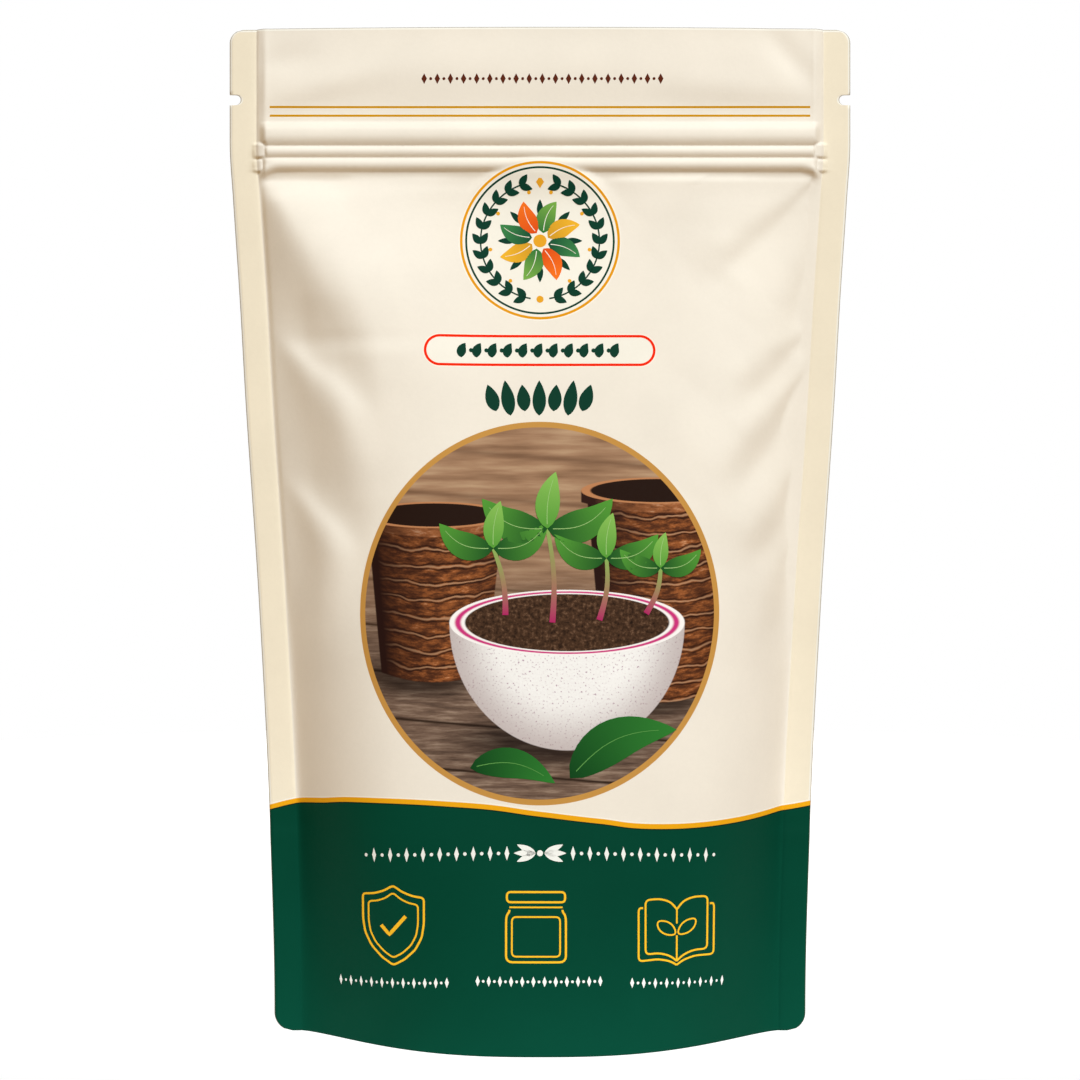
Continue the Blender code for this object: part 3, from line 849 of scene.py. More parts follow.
def wave_height(nodes, x, knots):
    """The height of the wave where the cream meets the green."""
    part = nodes.math("DIVIDE", nodes.math("SUBTRACT", x, WAVE_LEFT), WAVE_RIGHT - WAVE_LEFT)
    made = nodes.add("ShaderNodeFloatCurve")
    nodes.feed(made.inputs["Value"], part)
    curve = made.mapping.curves[0]
    width, height = WAVE_RIGHT - WAVE_LEFT, WAVE_HIGH - WAVE_LOW
    points = [((at - WAVE_LEFT) / width, (z - WAVE_LOW) / height) for at, z in knots]
    for at, z in points[1:-1]:
        curve.points.new(at, z)
    ends = sorted(curve.points, key=lambda point: point.location[0])
    ends[0].location, ends[-1].location = points[0], points[-1]
    for point in curve.points:
        point.handle_type = "AUTO"
    made.mapping.update()
    return nodes.math("ADD", nodes.math("MULTIPLY", made.outputs[0], height), WAVE_LOW)


def paint_ground(nodes, knots):
    """Cream film over a green foot, with a gold wave between them and two header lines. Along the
    cut edge a pale line is painted highlight, with a fine painted shade outside it."""
    s, z, film = nodes.film_places()
    x, _, _ = nodes.film_places("front view")
    to_edge = nodes.add("ShaderNodeAttribute", attribute_name="to edge").outputs["Fac"]
    cream = nodes.blend(nodes.noise(film, 0.02), CREAM, CREAM_DEEP)
    cream = nodes.blend(nodes.under(nodes.math("ABSOLUTE", s), FREE_HALF, 0.3), CREAM_SEAL, cream)
    # Painted highlight: a pale line just inside the cut edge
    cream = nodes.blend(nodes.line(to_edge, 0.32, 0.30, 0.12), cream, PAINTED_EDGE_HIGHLIGHT)
    green = nodes.blend(nodes.noise(film, 0.035, 3.0), GREEN, GREEN_DEEP)
    over = nodes.math("SUBTRACT", z, wave_height(nodes, x, knots))
    colour = nodes.blend(nodes.under(over), cream, green)
    colour = nodes.blend(nodes.line(over, -0.62, 0.28), colour, GREEN_LINE)
    colour = nodes.blend(nodes.line(over, 0.66, 0.30), colour, PALE)
    colour = nodes.blend(nodes.line(over, 0.0, 0.98), colour, WAVE_GOLD)
    across_lines = nodes.line(s, 0.0, 113.0)
    for height in HEADER_LINES:
        halo = nodes.both(across_lines, nodes.line(z, height, 0.85, 0.3))
        colour = nodes.blend(nodes.math("MULTIPLY", halo, 0.6), colour, PALE)
        colour = nodes.blend(nodes.both(across_lines, nodes.line(z, height, 0.47)), colour, LINE_GOLD)
    # Painted shade: a fine dark line at the very cut edge, laid over every colour
    return nodes.blend(nodes.math("MULTIPLY", nodes.under(to_edge, 0.13, 0.10), 0.7), colour, EDGE_SHADE)


def paint_badge(nodes, x, z, colour):
    """The round badge's pale ground and its gold and green rings."""
    out = nodes.distance_to(x, z, BADGE)
    colour = nodes.blend(nodes.under(out, BADGE_RADIUS + 0.30, 0.15), colour, PALE)
    colour = nodes.blend(nodes.under(out, BADGE_RADIUS), colour, BADGE_GROUND)
    colour = nodes.blend(nodes.line(out, BADGE_RADIUS - 0.24, 0.54), colour, BADGE_GOLD)
    return nodes.blend(nodes.line(out, BADGE_RADIUS - 1.27, 0.42), colour, INK_GREEN)


def paint_pill(nodes, x, z, colour):
    """The outline of a rounded bar."""
    past = nodes.math("SUBTRACT", nodes.math("ABSOLUTE", x), PILL_HALF - PILL_ROUND)
    along, up = nodes.math("MAXIMUM", past, 0.0), nodes.math("SUBTRACT", z, PILL_HEIGHT)
    squares = nodes.math("ADD", nodes.math("MULTIPLY", along, along), nodes.math("MULTIPLY", up, up))
    out = nodes.math("SQRT", squares)
    colour = nodes.blend(nodes.under(out, PILL_ROUND + 0.25, 0.15), colour, PALE)
    colour = nodes.blend(nodes.under(out, PILL_ROUND - 0.3), colour, BADGE_GROUND)
    return nodes.blend(nodes.line(out, PILL_ROUND - 0.24, 0.54), colour, RED)


def paint_boards(nodes, x, z):
    """Weathered boards: soft and light behind, greyer and sharper in front."""
    stretched = nodes.together(nodes.math("MULTIPLY", x, 0.10), nodes.math("MULTIPLY", z, 0.9))
    far = nodes.ramp(nodes.noise(stretched, 0.6, 3.0, 0.5), *BOARDS_FAR)
    near = nodes.ramp(nodes.noise(stretched, 1.3, 6.0, 0.62), *BOARDS_NEAR)
    gap = nodes.math("PINGPONG", nodes.math("ADD", z, nodes.math("MULTIPLY", x, 0.08)), 4.6)
    near = nodes.blend(nodes.under(gap, 0.25, 0.5), near, BOARD_GAP)
    far = nodes.blend(nodes.math("MULTIPLY", nodes.under(gap, 0.5, 1.4), 0.6), far, BOARD_GAP_FAR)
    return nodes.blend(nodes.under(z, 92.0, 26.0), far, near)


def paint_shadow(nodes, x, z, colour, centre, radii, strength, shade):
    """A soft round shadow on the boards."""
    part = nodes.under(nodes.distance_to(x, z, centre, radii), 0.75, 0.8)
    return nodes.blend(nodes.math("MULTIPLY", part, strength), colour, shade)


def paint_pot(nodes, x, z, under, centre, half, low, high):
    """A hand-thrown clay pot with worn ribs, a thick rim and a dark mouth, laid over a colour."""
    part = nodes.math("DIVIDE", nodes.math("SUBTRACT", z, low), high - low)
    wall = nodes.math("ADD", half * 0.74, nodes.math("MULTIPLY", part, half * 0.26))
    out = nodes.math("DIVIDE", nodes.math("SUBTRACT", x, centre), wall)
    square = nodes.math("MULTIPLY", out, out)
    level = nodes.math("SUBTRACT", z, nodes.math("MULTIPLY", square, 1.9))
    body = nodes.both(
        nodes.under(square, 1.0, 0.05),
        nodes.under(z, high, 0.2),
        nodes.under(nodes.math("MULTIPLY", level, -1.0), -low, 0.3),
    )
    wander = nodes.math("MULTIPLY", nodes.noise(nodes.together(x, z), 0.16, 2.0), 3.0)
    rib = nodes.math("PINGPONG", nodes.math("ADD", level, wander), 1.7)
    grain = nodes.together(nodes.math("MULTIPLY", x, 0.7), nodes.math("MULTIPLY", level, 2.0))
    clay = nodes.noise(grain, 0.42, 7.0, 0.70)
    colour = nodes.ramp(clay, *CLAY)
    colour = nodes.blend(nodes.math("MULTIPLY", nodes.under(rib, 0.16, 0.22), 0.75), colour, CLAY_WORN)
    groove = nodes.math("MULTIPLY", nodes.line(rib, 0.42, 0.30, 0.3), 0.8)
    colour = nodes.blend(groove, colour, CLAY_GROOVE)
    from_light = nodes.math("ABSOLUTE", nodes.math("SUBTRACT", out, 0.30))
    shade = nodes.math("MULTIPLY", nodes.math("POWER", from_light, 1.6), 0.75)
    lit = nodes.blend(shade, colour, CLAY_SHADE)
    made = nodes.blend(body, under, lit)
    rim_out = nodes.math("DIVIDE", nodes.math("SUBTRACT", x, centre), half + 1.1)
    rim_square = nodes.math("MULTIPLY", rim_out, rim_out)
    rim_level = nodes.math("SUBTRACT", z, nodes.math("MULTIPLY", rim_square, 2.1))
    rim = nodes.both(
        nodes.under(rim_square, 1.0, 0.04),
        nodes.under(z, high + 0.3, 0.2),
        nodes.under(nodes.math("MULTIPLY", rim_level, -1.0), 4.2 - high, 0.25),
    )
    worn = nodes.ramp(clay, *CLAY_RIM)
    made = nodes.blend(rim, made, nodes.blend(shade, worn, CLAY_RIM_SHADE))
    mouth = nodes.distance_to(x, z, (centre, high + 0.3), (half + 1.1, 2.7))
    made = nodes.blend(nodes.under(mouth, 1.0, 0.03), made, CLAY_LIP)
    return nodes.blend(nodes.under(mouth, 0.88, 0.04), made, CLAY_MOUTH)


def paint_bowl(nodes, x, z, colour):
    """A speckled ivory bowl of dark soil with a pink rim, and its shadow."""
    centre, rim, half, deep = BOWL
    foot = (centre - 3.0, rim - deep + 2.0)
    colour = paint_shadow(nodes, x, z, colour, foot, (half * 0.95, 6.5), 0.85, BOWL_SHADOW)
    body = nodes.distance_to(x, z, (centre, rim), (half, deep))
    below = nodes.under(z, rim, 0.2)
    specks = nodes.noise(nodes.together(x, z), 2.2, 2.0, 0.5)
    ivory = nodes.ramp(specks, *IVORY)
    edge = nodes.under(nodes.math("MULTIPLY", body, -1.0), -0.80, 0.42)
    ivory = nodes.blend(nodes.math("MULTIPLY", edge, 0.62), ivory, IVORY_SHADE)
    colour = nodes.blend(nodes.both(nodes.under(body, 1.0, 0.01), below), colour, ivory)
    top = nodes.distance_to(x, z, (centre, rim), (half, 6.6))
    colour = nodes.blend(nodes.under(top, 1.0, 0.015), colour, IVORY_RIM)
    colour = nodes.blend(nodes.line(top, 0.93, 0.05, 0.03), colour, PINK)
    lumps = nodes.noise(nodes.together(x, z), 1.1, 5.0, 0.7)
    return nodes.blend(nodes.under(top, 0.87, 0.02), colour, nodes.ramp(lumps, *SOIL))


def paint_picture(nodes, x, z, colour):
    """The oval: clay pots and a bowl of soil on boards, inside a tan ring."""
    out = nodes.distance_to(x, z, OVAL, OVAL_RADII)
    scene = paint_boards(nodes, x, z)
    for centre, half, low, high in POTS:
        foot = (centre - 3.0, low + 1.0)
        scene = paint_shadow(nodes, x, z, scene, foot, (half * 1.1, 5.0), 0.8, POT_SHADOW)
        scene = paint_pot(nodes, x, z, scene, centre, half, low, high)
    scene = paint_bowl(nodes, x, z, scene)
    colour = nodes.blend(nodes.under(out, 0.985, 0.004), colour, scene)
    return nodes.blend(nodes.line(out, 0.985, 0.030, 0.003), colour, OVAL_GOLD)


def front_film_material():
    """The printed front film."""
    made = new_material("front_film", CREAM, 0.5, Specular_IOR_Level=0.02)
    nodes = Nodes(made)
    x, z, _ = nodes.film_places("front view")
    colour = paint_ground(nodes, FRONT_WAVE)
    colour = paint_badge(nodes, x, z, colour)
    colour = paint_pill(nodes, x, z, colour)
    colour = paint_picture(nodes, x, z, colour)
    film_texture(nodes, colour)
    return made


def back_film_material():
    """The printed back film, with a plain ruled panel for notes."""
    made = new_material("back_film", CREAM, 0.5, Specular_IOR_Level=0.02)
    nodes = Nodes(made)
    s, z, _ = nodes.film_places()
    colour = paint_ground(nodes, BACK_WAVE)
    middle, half = (NOTES_TOP + NOTES_LOW) / 2, (NOTES_TOP - NOTES_LOW) / 2
    sides = nodes.math("SUBTRACT", nodes.math("ABSOLUTE", s), NOTES_HALF)
    ends = nodes.math("SUBTRACT", nodes.math("ABSOLUTE", nodes.math("SUBTRACT", z, middle)), half)
    out = nodes.math("MAXIMUM", sides, ends)
    colour = nodes.blend(nodes.under(out), colour, PALE)
    rule = nodes.math("PINGPONG", nodes.math("SUBTRACT", z, NOTES_LOW + NOTES_RULE / 2), NOTES_RULE / 2)
    colour = nodes.blend(nodes.both(nodes.line(rule, 0.0, 0.36), nodes.under(out, -5.0)), colour, OVAL_GOLD)
    colour = nodes.blend(nodes.line(out, -1.1, 0.28), colour, INK_GREEN)
    colour = nodes.blend(nodes.line(out, 0.0, 0.60), colour, WAVE_GOLD)
    film_texture(nodes, colour)
    return made


def plain_film_material(name, colour, deep):
    """Unprinted or one-colour film, with the same mottling and relief."""
    made = new_material(name, colour, 0.5, Specular_IOR_Level=0.02)
    nodes = Nodes(made)
    film_texture(nodes, nodes.blend(nodes.noise(nodes.object_places(), 40.0, 3.0), colour, deep))
    return made


def print_material(name):
    """Printed ink: its colour is the piece's own, with the film's relief showing through."""
    made = new_material(name, GOLD, 0.5, Specular_IOR_Level=0.02)
    nodes = Nodes(made)
    film_texture(nodes, nodes.add("ShaderNodeAttribute", attribute_name="ink").outputs["Color"])
    return made


def plastic_material():
    """The zip's milky plastic."""
    made = new_material("zip_plastic", (0.80, 0.80, 0.77), 0.32, Subsurface_Weight=0.25)
    made.node_tree.nodes["Principled BSDF"].inputs["Subsurface Radius"].default_value = (0.004, 0.004, 0.004)
    nodes = Nodes(made)
    flow = nodes.noise(nodes.object_places(), 180.0, 3.0)
    nodes.feed(nodes.shader.inputs["Base Color"], nodes.blend(flow, (0.76, 0.76, 0.73), (0.85, 0.85, 0.82)))
    nodes.bump(nodes.noise(nodes.object_places(), 900.0, 3.0), 0.01)
    return made


def seed_material():
    """Dry seed coats: brown, each seed a little different, with a fine wrinkle."""
    made = new_material("seed_coat", (0.30, 0.17, 0.08), 0.6)
    nodes = Nodes(made)
    places = nodes.object_places()
    colour = nodes.ramp(nodes.noise(places, 160.0, 2.0), *SEED_COATS)
    nodes.feed(nodes.shader.inputs["Base Color"], colour)
    nodes.bump(nodes.noise(places, 1400.0, 4.0), 0.05)
    return made


def rounded(points, radius, closed):
    """The points with each corner made a short curve."""
    made = [] if closed else [points[0]]
    count = len(points)
    for i in range(count) if closed else range(1, count - 1):
        corner, back, on = points[i], points[i - 1] - points[i], points[(i + 1) % count] - points[i]
        start = corner + back * min(0.5, radius / np.linalg.norm(back))
        end = corner + on * min(0.5, radius / np.linalg.norm(on))
        for t in (0.0, 0.25, 0.5, 0.75, 1.0):
            made.append((1 - t) ** 2 * start + 2 * t * (1 - t) * corner + t * t * end)
    return made if closed else made + [points[-1]]


class Print:
    """Thin strips of ink on a panel's film, each with a colour, as one piece. Their places
    (across, height) are those seen from the front."""

    def __init__(self, side):
        self.side = side
        self.places, self.lifts, self.colours, self.faces = [], [], [], []

    def strip(self, line, half, colour, end_colour=None, closed=False, layer=0):
        """A strip along a line, with its half width at each point."""
        line = np.array(line, float)
        half = np.broadcast_to(np.asarray(half, float), (len(line),))
        if closed:
            along = np.roll(line, -1, axis=0) - np.roll(line, 1, axis=0)
        else:
            along = np.gradient(line, axis=0)
        along /= np.linalg.norm(along, axis=1)[:, None] + 1e-12
        left = np.stack([-along[:, 1], along[:, 0]], axis=1) * half[:, None]
        first = len(self.places)
        lift = PRINT_LIFT * (layer + 1)
        for i, (middle, out) in enumerate(zip(line, left)):
            part = i / max(1, len(line) - 1)
            shade = [a + (b - a) * part for a, b in zip(colour, end_colour or colour)]
            for place, rise in ((middle + out, lift), (middle, lift), (middle - out, lift),
                                (middle - out, -lift), (middle, -lift), (middle + out, -lift)):
                self.places.append(place)
                self.lifts.append(rise)
                self.colours.append(shade)
        count = len(line)
        for i in range(count if closed else count - 1):
            here, there = first + 6 * i, first + 6 * ((i + 1) % count)
            for j in range(6):
                k = (j + 1) % 6
                self.faces.append((here + j, there + j, there + k, here + k))
        if not closed:
            self.faces.append(tuple(first + j for j in range(6)))
            self.faces.append(tuple(first + 6 * (count - 1) + 5 - j for j in range(6)))

    def leaf(self, base, tip, width, colour, end_colour=None, bow=0.0, rib=None, layer=0):
        """A pointed leaf from base to tip, bowed sideways by a part of its length."""
        base, tip = np.array(base, float), np.array(tip, float)
        part = np.linspace(0.0, 1.0, 15)
        run = tip - base
        sideways = np.array([-run[1], run[0]])
        line = base + run * part[:, None] + sideways * (bow * np.sin(np.pi * part))[:, None]
        half = width / 2 * np.sin(np.pi * part ** 0.8) ** 0.85 + 0.02
        self.strip(line, half, colour, end_colour, layer=layer)
        if rib:
            self.strip(line[1:-2], 0.035 + 0.05 * (1 - part[1:-2]), rib, layer=layer + 1)

    def path(self, points, half, colour, closed=False, layer=0, step=0.8, rounding=0.0):
        """A line of one width through corners, which may be rounded."""
        points = [np.array(point, float) for point in points]
        if rounding:
            points = rounded(points, rounding, closed)
        ends = points[1:] + ([points[0]] if closed else [])
        line = []
        for start, end in zip(points, ends):
            if np.linalg.norm(end - start) < 1e-6:
                continue
            count = math.ceil(np.linalg.norm(end - start) / step)
            line += [start + (end - start) * i / count for i in range(count)]
        if not closed:
            line.append(points[-1])
        self.strip(line, half, colour, closed=closed, layer=layer)

    def piece(self, name, material):
        """The gathered ink as one closed thin piece."""
        places = np.array(self.places)
        points, _ = on_film(self.side, places[:, 0], places[:, 1], np.array(self.lifts)[:, None])
        mesh = bpy.data.meshes.new(name)
        mesh.from_pydata((points * MM).tolist(), [], self.faces)
        work = bmesh.new()
        work.from_mesh(mesh)
        bmesh.ops.recalc_face_normals(work, faces=work.faces)
        work.to_mesh(mesh)
        work.free()
        shades = mesh.color_attributes.new("ink", "FLOAT_COLOR", "POINT")
        flat = np.concatenate([np.array(self.colours), np.ones((len(places), 1))], axis=1)
        shades.data.foreach_set("color", flat.ravel())
        return finish_mesh(name, mesh, [material], smooth=False)


def new_tree(name, inputs):
    """A Geometry Nodes tree that takes a geometry and the named inputs, and gives a geometry."""
    tree = bpy.data.node_groups.new(name, "GeometryNodeTree")
    for label, kind in (("Geometry", "Geometry"), *inputs):
        tree.interface.new_socket(label, in_out="INPUT", socket_type="NodeSocket" + kind)
    tree.interface.new_socket("Geometry", in_out="OUTPUT", socket_type="NodeSocketGeometry")
    return tree


def stamp_tree():
    """Geometry Nodes: a small flat spot at each point, turned and sized by the point."""
    tree = new_tree("stamps", (("Corners", "Int"), ("Thickness", "Float"), ("Ink", "Material")))
    add, link = tree.nodes.new, tree.links.new
    given, result = add("NodeGroupInput"), add("NodeGroupOutput")
    spot = add("GeometryNodeMeshCylinder")
    spot.inputs["Radius"].default_value = 0.5
    link(given.outputs["Corners"], spot.inputs["Vertices"])
    link(given.outputs["Thickness"], spot.inputs["Depth"])
    turn, size = add("GeometryNodeInputNamedAttribute"), add("GeometryNodeInputNamedAttribute")
    for attribute, name in ((turn, "turn"), (size, "size")):
        attribute.data_type = "FLOAT_VECTOR"
        attribute.inputs["Name"].default_value = name
    rotation = add("FunctionNodeEulerToRotation")
    link(turn.outputs["Attribute"], rotation.inputs[0])
    place = add("GeometryNodeInstanceOnPoints")
    link(given.outputs["Geometry"], place.inputs["Points"])
    link(spot.outputs["Mesh"], place.inputs["Instance"])
    link(rotation.outputs[0], place.inputs["Rotation"])
    link(size.outputs["Attribute"], place.inputs["Scale"])
    real, finish = add("GeometryNodeRealizeInstances"), add("GeometryNodeSetMaterial")
    link(place.outputs["Instances"], real.inputs[0])
    link(real.outputs[0], finish.inputs["Geometry"])
    link(given.outputs["Ink"], finish.inputs["Material"])
    link(finish.outputs[0], result.inputs[0])
    return tree


def set_inputs(modifier, **values):
    """Give a Geometry Nodes modifier its inputs, each by its socket's identifier."""
    for item in modifier.node_group.interface.items_tree:
        if item.in_out == "INPUT" and item.name in values:
            modifier[item.identifier] = values[item.name]


def stamps(name, side, spots, corners, tree, ink):
    """Spots of ink on the film. Each is (across, height, width, length, turn, colour), placed
    as seen from the front."""
    places = np.array([spot[:2] for spot in spots], float)
    points, normals = on_film(side, places[:, 0], places[:, 1])
    mesh = bpy.data.meshes.new(name)
    mesh.from_pydata((points * MM).tolist(), [], [])
    turns, sizes, shades = [], [], []
    for (_, _, width, length, turn, colour), normal in zip(spots, normals):
        normal = mathutils.Vector(normal)
        up = (mathutils.Vector((0, 0, 1)) - normal * normal.z).normalized()
        up.rotate(mathutils.Quaternion(normal, turn))
        axes = mathutils.Matrix((up.cross(normal), up, normal)).transposed()
        turns.append(axes.to_euler())
        sizes.append((width * MM, length * MM, 1.0))
        shades.append((*colour, 1.0))
    for label, kind, values in (("turn", "FLOAT_VECTOR", turns), ("size", "FLOAT_VECTOR", sizes),
                                ("ink", "FLOAT_COLOR", shades)):
        layer = mesh.attributes.new(label, kind, "POINT")
        key = "color" if kind == "FLOAT_COLOR" else "vector"
        layer.data.foreach_set(key, np.array([tuple(value) for value in values], float).ravel())
    made = finish_mesh(name, mesh, [ink], smooth=False)
    modifier = made.modifiers.new("stamps", "NODES")
    modifier.node_group = tree
    set_inputs(modifier, Corners=corners, Thickness=2 * PRINT_LIFT * MM, Ink=ink)
    return apply_modifiers(made)


def row_of(start, end, count):
    """Evenly spaced values from start to end."""
    return [start + (end - start) * i / (count - 1) for i in range(count)]


def draw_rosette(art, spots, lozenges):
    """The badge: leaves about a middle spot, inside a wreath."""
    cx, cz = BADGE
    middle = np.array(BADGE)
    inks = (((0.62, 0.30, 0.02), (0.90, 0.47, 0.03)), ((0.03, 0.17, 0.04), (0.20, 0.42, 0.07)),
            ((0.72, 0.07, 0.008), (0.93, 0.18, 0.015)), ((0.008, 0.07, 0.035), (0.05, 0.24, 0.07)))
    for i in range(8):
        angle = math.pi / 4 * i + math.pi / 8
        turn = np.array([math.cos(angle), math.sin(angle)])
        inner, outer = inks[i % 4]
        art.leaf(middle + 1.8 * turn, middle + 9.0 * turn, 3.9, inner, outer, bow=0.10, rib=PALE, layer=0)
    for i in range(8):
        angle = math.pi / 4 * i
        turn = np.array([math.cos(angle), math.sin(angle)])
        art.leaf(middle + 5.2 * turn, middle + 8.8 * turn, 1.3, INK_GREEN, layer=0)
    spots.append((cx, cz, 2.8, 2.8, 0.0, GOLD))
    ring = WREATH_RADIUS
    for side in (-1, 1):
        angles = [-math.pi / 2 + side * math.radians(turn) for turn in np.linspace(9.0, 166.0, 40)]
        art.strip([(cx + ring * math.cos(a), cz + ring * math.sin(a)) for a in angles], 0.16, INK_GREEN)
        for i in range(11):
            angle = -math.pi / 2 + side * math.radians(14.0 + 14.6 * i)
            root = middle + ring * np.array([math.cos(angle), math.sin(angle)])
            for out in (-1, 1):
                lean = angle + side * (math.pi / 2 - out * 0.62)
                tip = root + 2.75 * np.array([math.cos(lean), math.sin(lean)])
                art.leaf(root, tip, 1.45, INK_GREEN, layer=1)
            if i % 3 == 1:
                berry = angle + side * math.radians(7.3)
                place = middle + (ring - 1.9) * np.array([math.cos(berry), math.sin(berry)])
                spots.append((*place, 0.8, 0.8, 0.0, GOLD))
    spots.append((cx, cz - ring, 1.5, 1.5, 0.0, GOLD))
    lozenges.append((cx, cz + ring, 1.7, 2.6, 0.0, GOLD))


def draw_title(art):
    """A bold row under the pill: leaves, tall and short in turn, that lean out from the middle."""
    middle, height = TITLE
    for i in range(-3, 4):
        reach = 2.75 if i % 2 else 3.65
        base, tip = (middle + 2.95 * i, height - reach), (middle + 3.55 * i, height + reach)
        art.leaf(base, tip, 2.75, INK_GREEN)


def draw_header(spots, lozenges):
    """A fine row of lozenges and dots over the header lines."""
    for i, x in enumerate(row_of(-24.2, 25.2, 37)):
        if i % 2:
            spots.append((x, HEADER_ROW, 0.62, 0.62, 0.0, BROWN))
        else:
            lozenges.append((x, HEADER_ROW, 1.15, 2.2, 0.0, BROWN))


def draw_pill(art, spots):
    """A row of seed shapes in the pill, with a dot between each two."""
    for i, x in enumerate(row_of(-15.8, 15.8, 21)):
        if i % 2:
            spots.append((x, PILL_HEIGHT, 0.9, 0.9, 0.0, INK_GREEN))
        else:
            art.leaf((x - 0.4, PILL_HEIGHT - 1.5), (x + 0.4, PILL_HEIGHT + 1.5), 1.9, INK_GREEN, bow=0.12)


def draw_foot_rule(art, spots, lozenges):
    """A white rule of leaves and dots across the green foot."""
    def height(x):
        return 40.2 - 1.15 * (x / 35.0) ** 2
    for side in (-1, 1):
        for i in range(18):
            x = side * (6.6 + 1.68 * i)
            if i % 2:
                spots.append((x, height(x), 0.7, 0.7, 0.0, WHITE))
            else:
                lozenges.append((x, height(x), 0.95, 2.9, 0.0, WHITE))
        for turn in (-0.55, 0.0, 0.55):
            tip = (side * (1.0 + 4.2 * math.cos(turn)), height(0) + 3.2 * math.sin(turn))
            art.leaf((side * 0.9, height(0)), tip, 1.25, WHITE)
    spots.append((0.0, height(0), 1.2, 1.2, 0.0, WHITE))


def draw_captions(spots, lozenges):
    """White rules of lozenges and dots under the three pictograms."""
    for start, end, low, high in CAPTIONS:
        count = 2 * round((end - start) / 2.3) + 1
        for i, x in enumerate(row_of(start, end, count)):
            part = i / (count - 1)
            z = low + (high - low) * part
            if i % 2 == 0:
                lozenges.append((x, z, 0.85, 2.1, 0.0, WHITE))
            else:
                spots.append((x, z, 0.55, 0.55, 0.0, WHITE))


def shield_outline(cx, cz, half, low, top):
    """The corners of a plain shield's outline."""
    shoulder = top - 2.2
    right = [(0.0, top), (0.30 * half, top - 1.2), (0.62 * half, shoulder + 0.3), (half, shoulder)]
    right += [(half, 0.1 * top), (0.93 * half, -0.24 * top)]
    right += [(0.72 * half, 0.56 * low), (0.38 * half, 0.82 * low)]
    left = [(-x, z) for x, z in reversed(right[1:])]
    return [(cx + x, cz + z) for x, z in right + [(0.0, low)] + left]


def draw_pictograms(art):
    """Gold line pictograms: a shield with a tick, a lidded jar, and a book with a sprout."""
    cx, cz = -29.6, 25.0
    art.path(shield_outline(cx, cz, 6.35, -8.1, 8.2), 0.21, ICON_GOLD, closed=True, rounding=0.7)
    art.path(shield_outline(cx, cz, 5.15, -6.6, 6.75), 0.17, ICON_GOLD, closed=True, rounding=0.7)
    art.path([(cx - 2.5, cz - 0.1), (cx - 0.8, cz - 1.9), (cx + 2.6, cz + 2.1)], 0.36, ICON_GOLD)
    cx, cz = -0.8, 25.65
    art.path([(cx - 5.3, cz + 3.4), (cx - 5.3, cz + 3.0), (cx - 5.95, cz + 2.2), (cx - 5.95, cz - 6.9),
              (cx + 5.95, cz - 6.9), (cx + 5.95, cz + 2.2), (cx + 5.3, cz + 3.0), (cx + 5.3, cz + 3.4)],
             0.21, ICON_GOLD, rounding=1.3)
    art.path([(cx - 4.8, cz - 5.8), (cx + 4.8, cz - 5.8), (cx + 4.8, cz + 2.0), (cx - 4.8, cz + 2.0)],
             0.17, ICON_GOLD, closed=True, rounding=0.9)
    art.path([(cx - 5.8, cz + 4.9), (cx + 5.8, cz + 4.9), (cx + 5.8, cz + 6.9), (cx - 5.8, cz + 6.9)],
             0.21, ICON_GOLD, closed=True, rounding=0.8)
    art.path([(cx - 5.3, cz + 3.9), (cx + 5.3, cz + 3.9)], 0.16, ICON_GOLD)
    cx, cz = 27.5, 24.2
    for side in (-1, 1):
        page = [(0.0, 4.3), (1.3, 5.9), (3.4, 6.6), (6.4, 6.5)]
        page += [(6.4, -4.4), (3.6, -4.3), (1.4, -5.0), (0.0, -6.2)]
        art.path([(cx + side * x, cz + z) for x, z in page], 0.19, ICON_GOLD, rounding=1.0)
        cover = [(6.9, 4.9), (7.8, 4.9), (7.8, -5.7), (3.8, -5.5), (1.4, -6.1), (0.0, -7.0)]
        art.path([(cx + side * x, cz + z) for x, z in cover], 0.19, ICON_GOLD, rounding=0.9)
        leaf = [(0.0, -0.9), (0.7, 1.1), (2.2, 2.1), (4.1, 2.2), (3.8, 0.4), (2.2, -0.8)]
        art.path([(cx + side * x, cz + z) for x, z in leaf], 0.16, ICON_GOLD, closed=True, rounding=1.2)
    art.path([(cx, cz + 4.3), (cx, cz + 1.4)], 0.16, ICON_GOLD)
    art.path([(cx, cz - 1.0), (cx, cz - 6.2)], 0.17, ICON_GOLD)


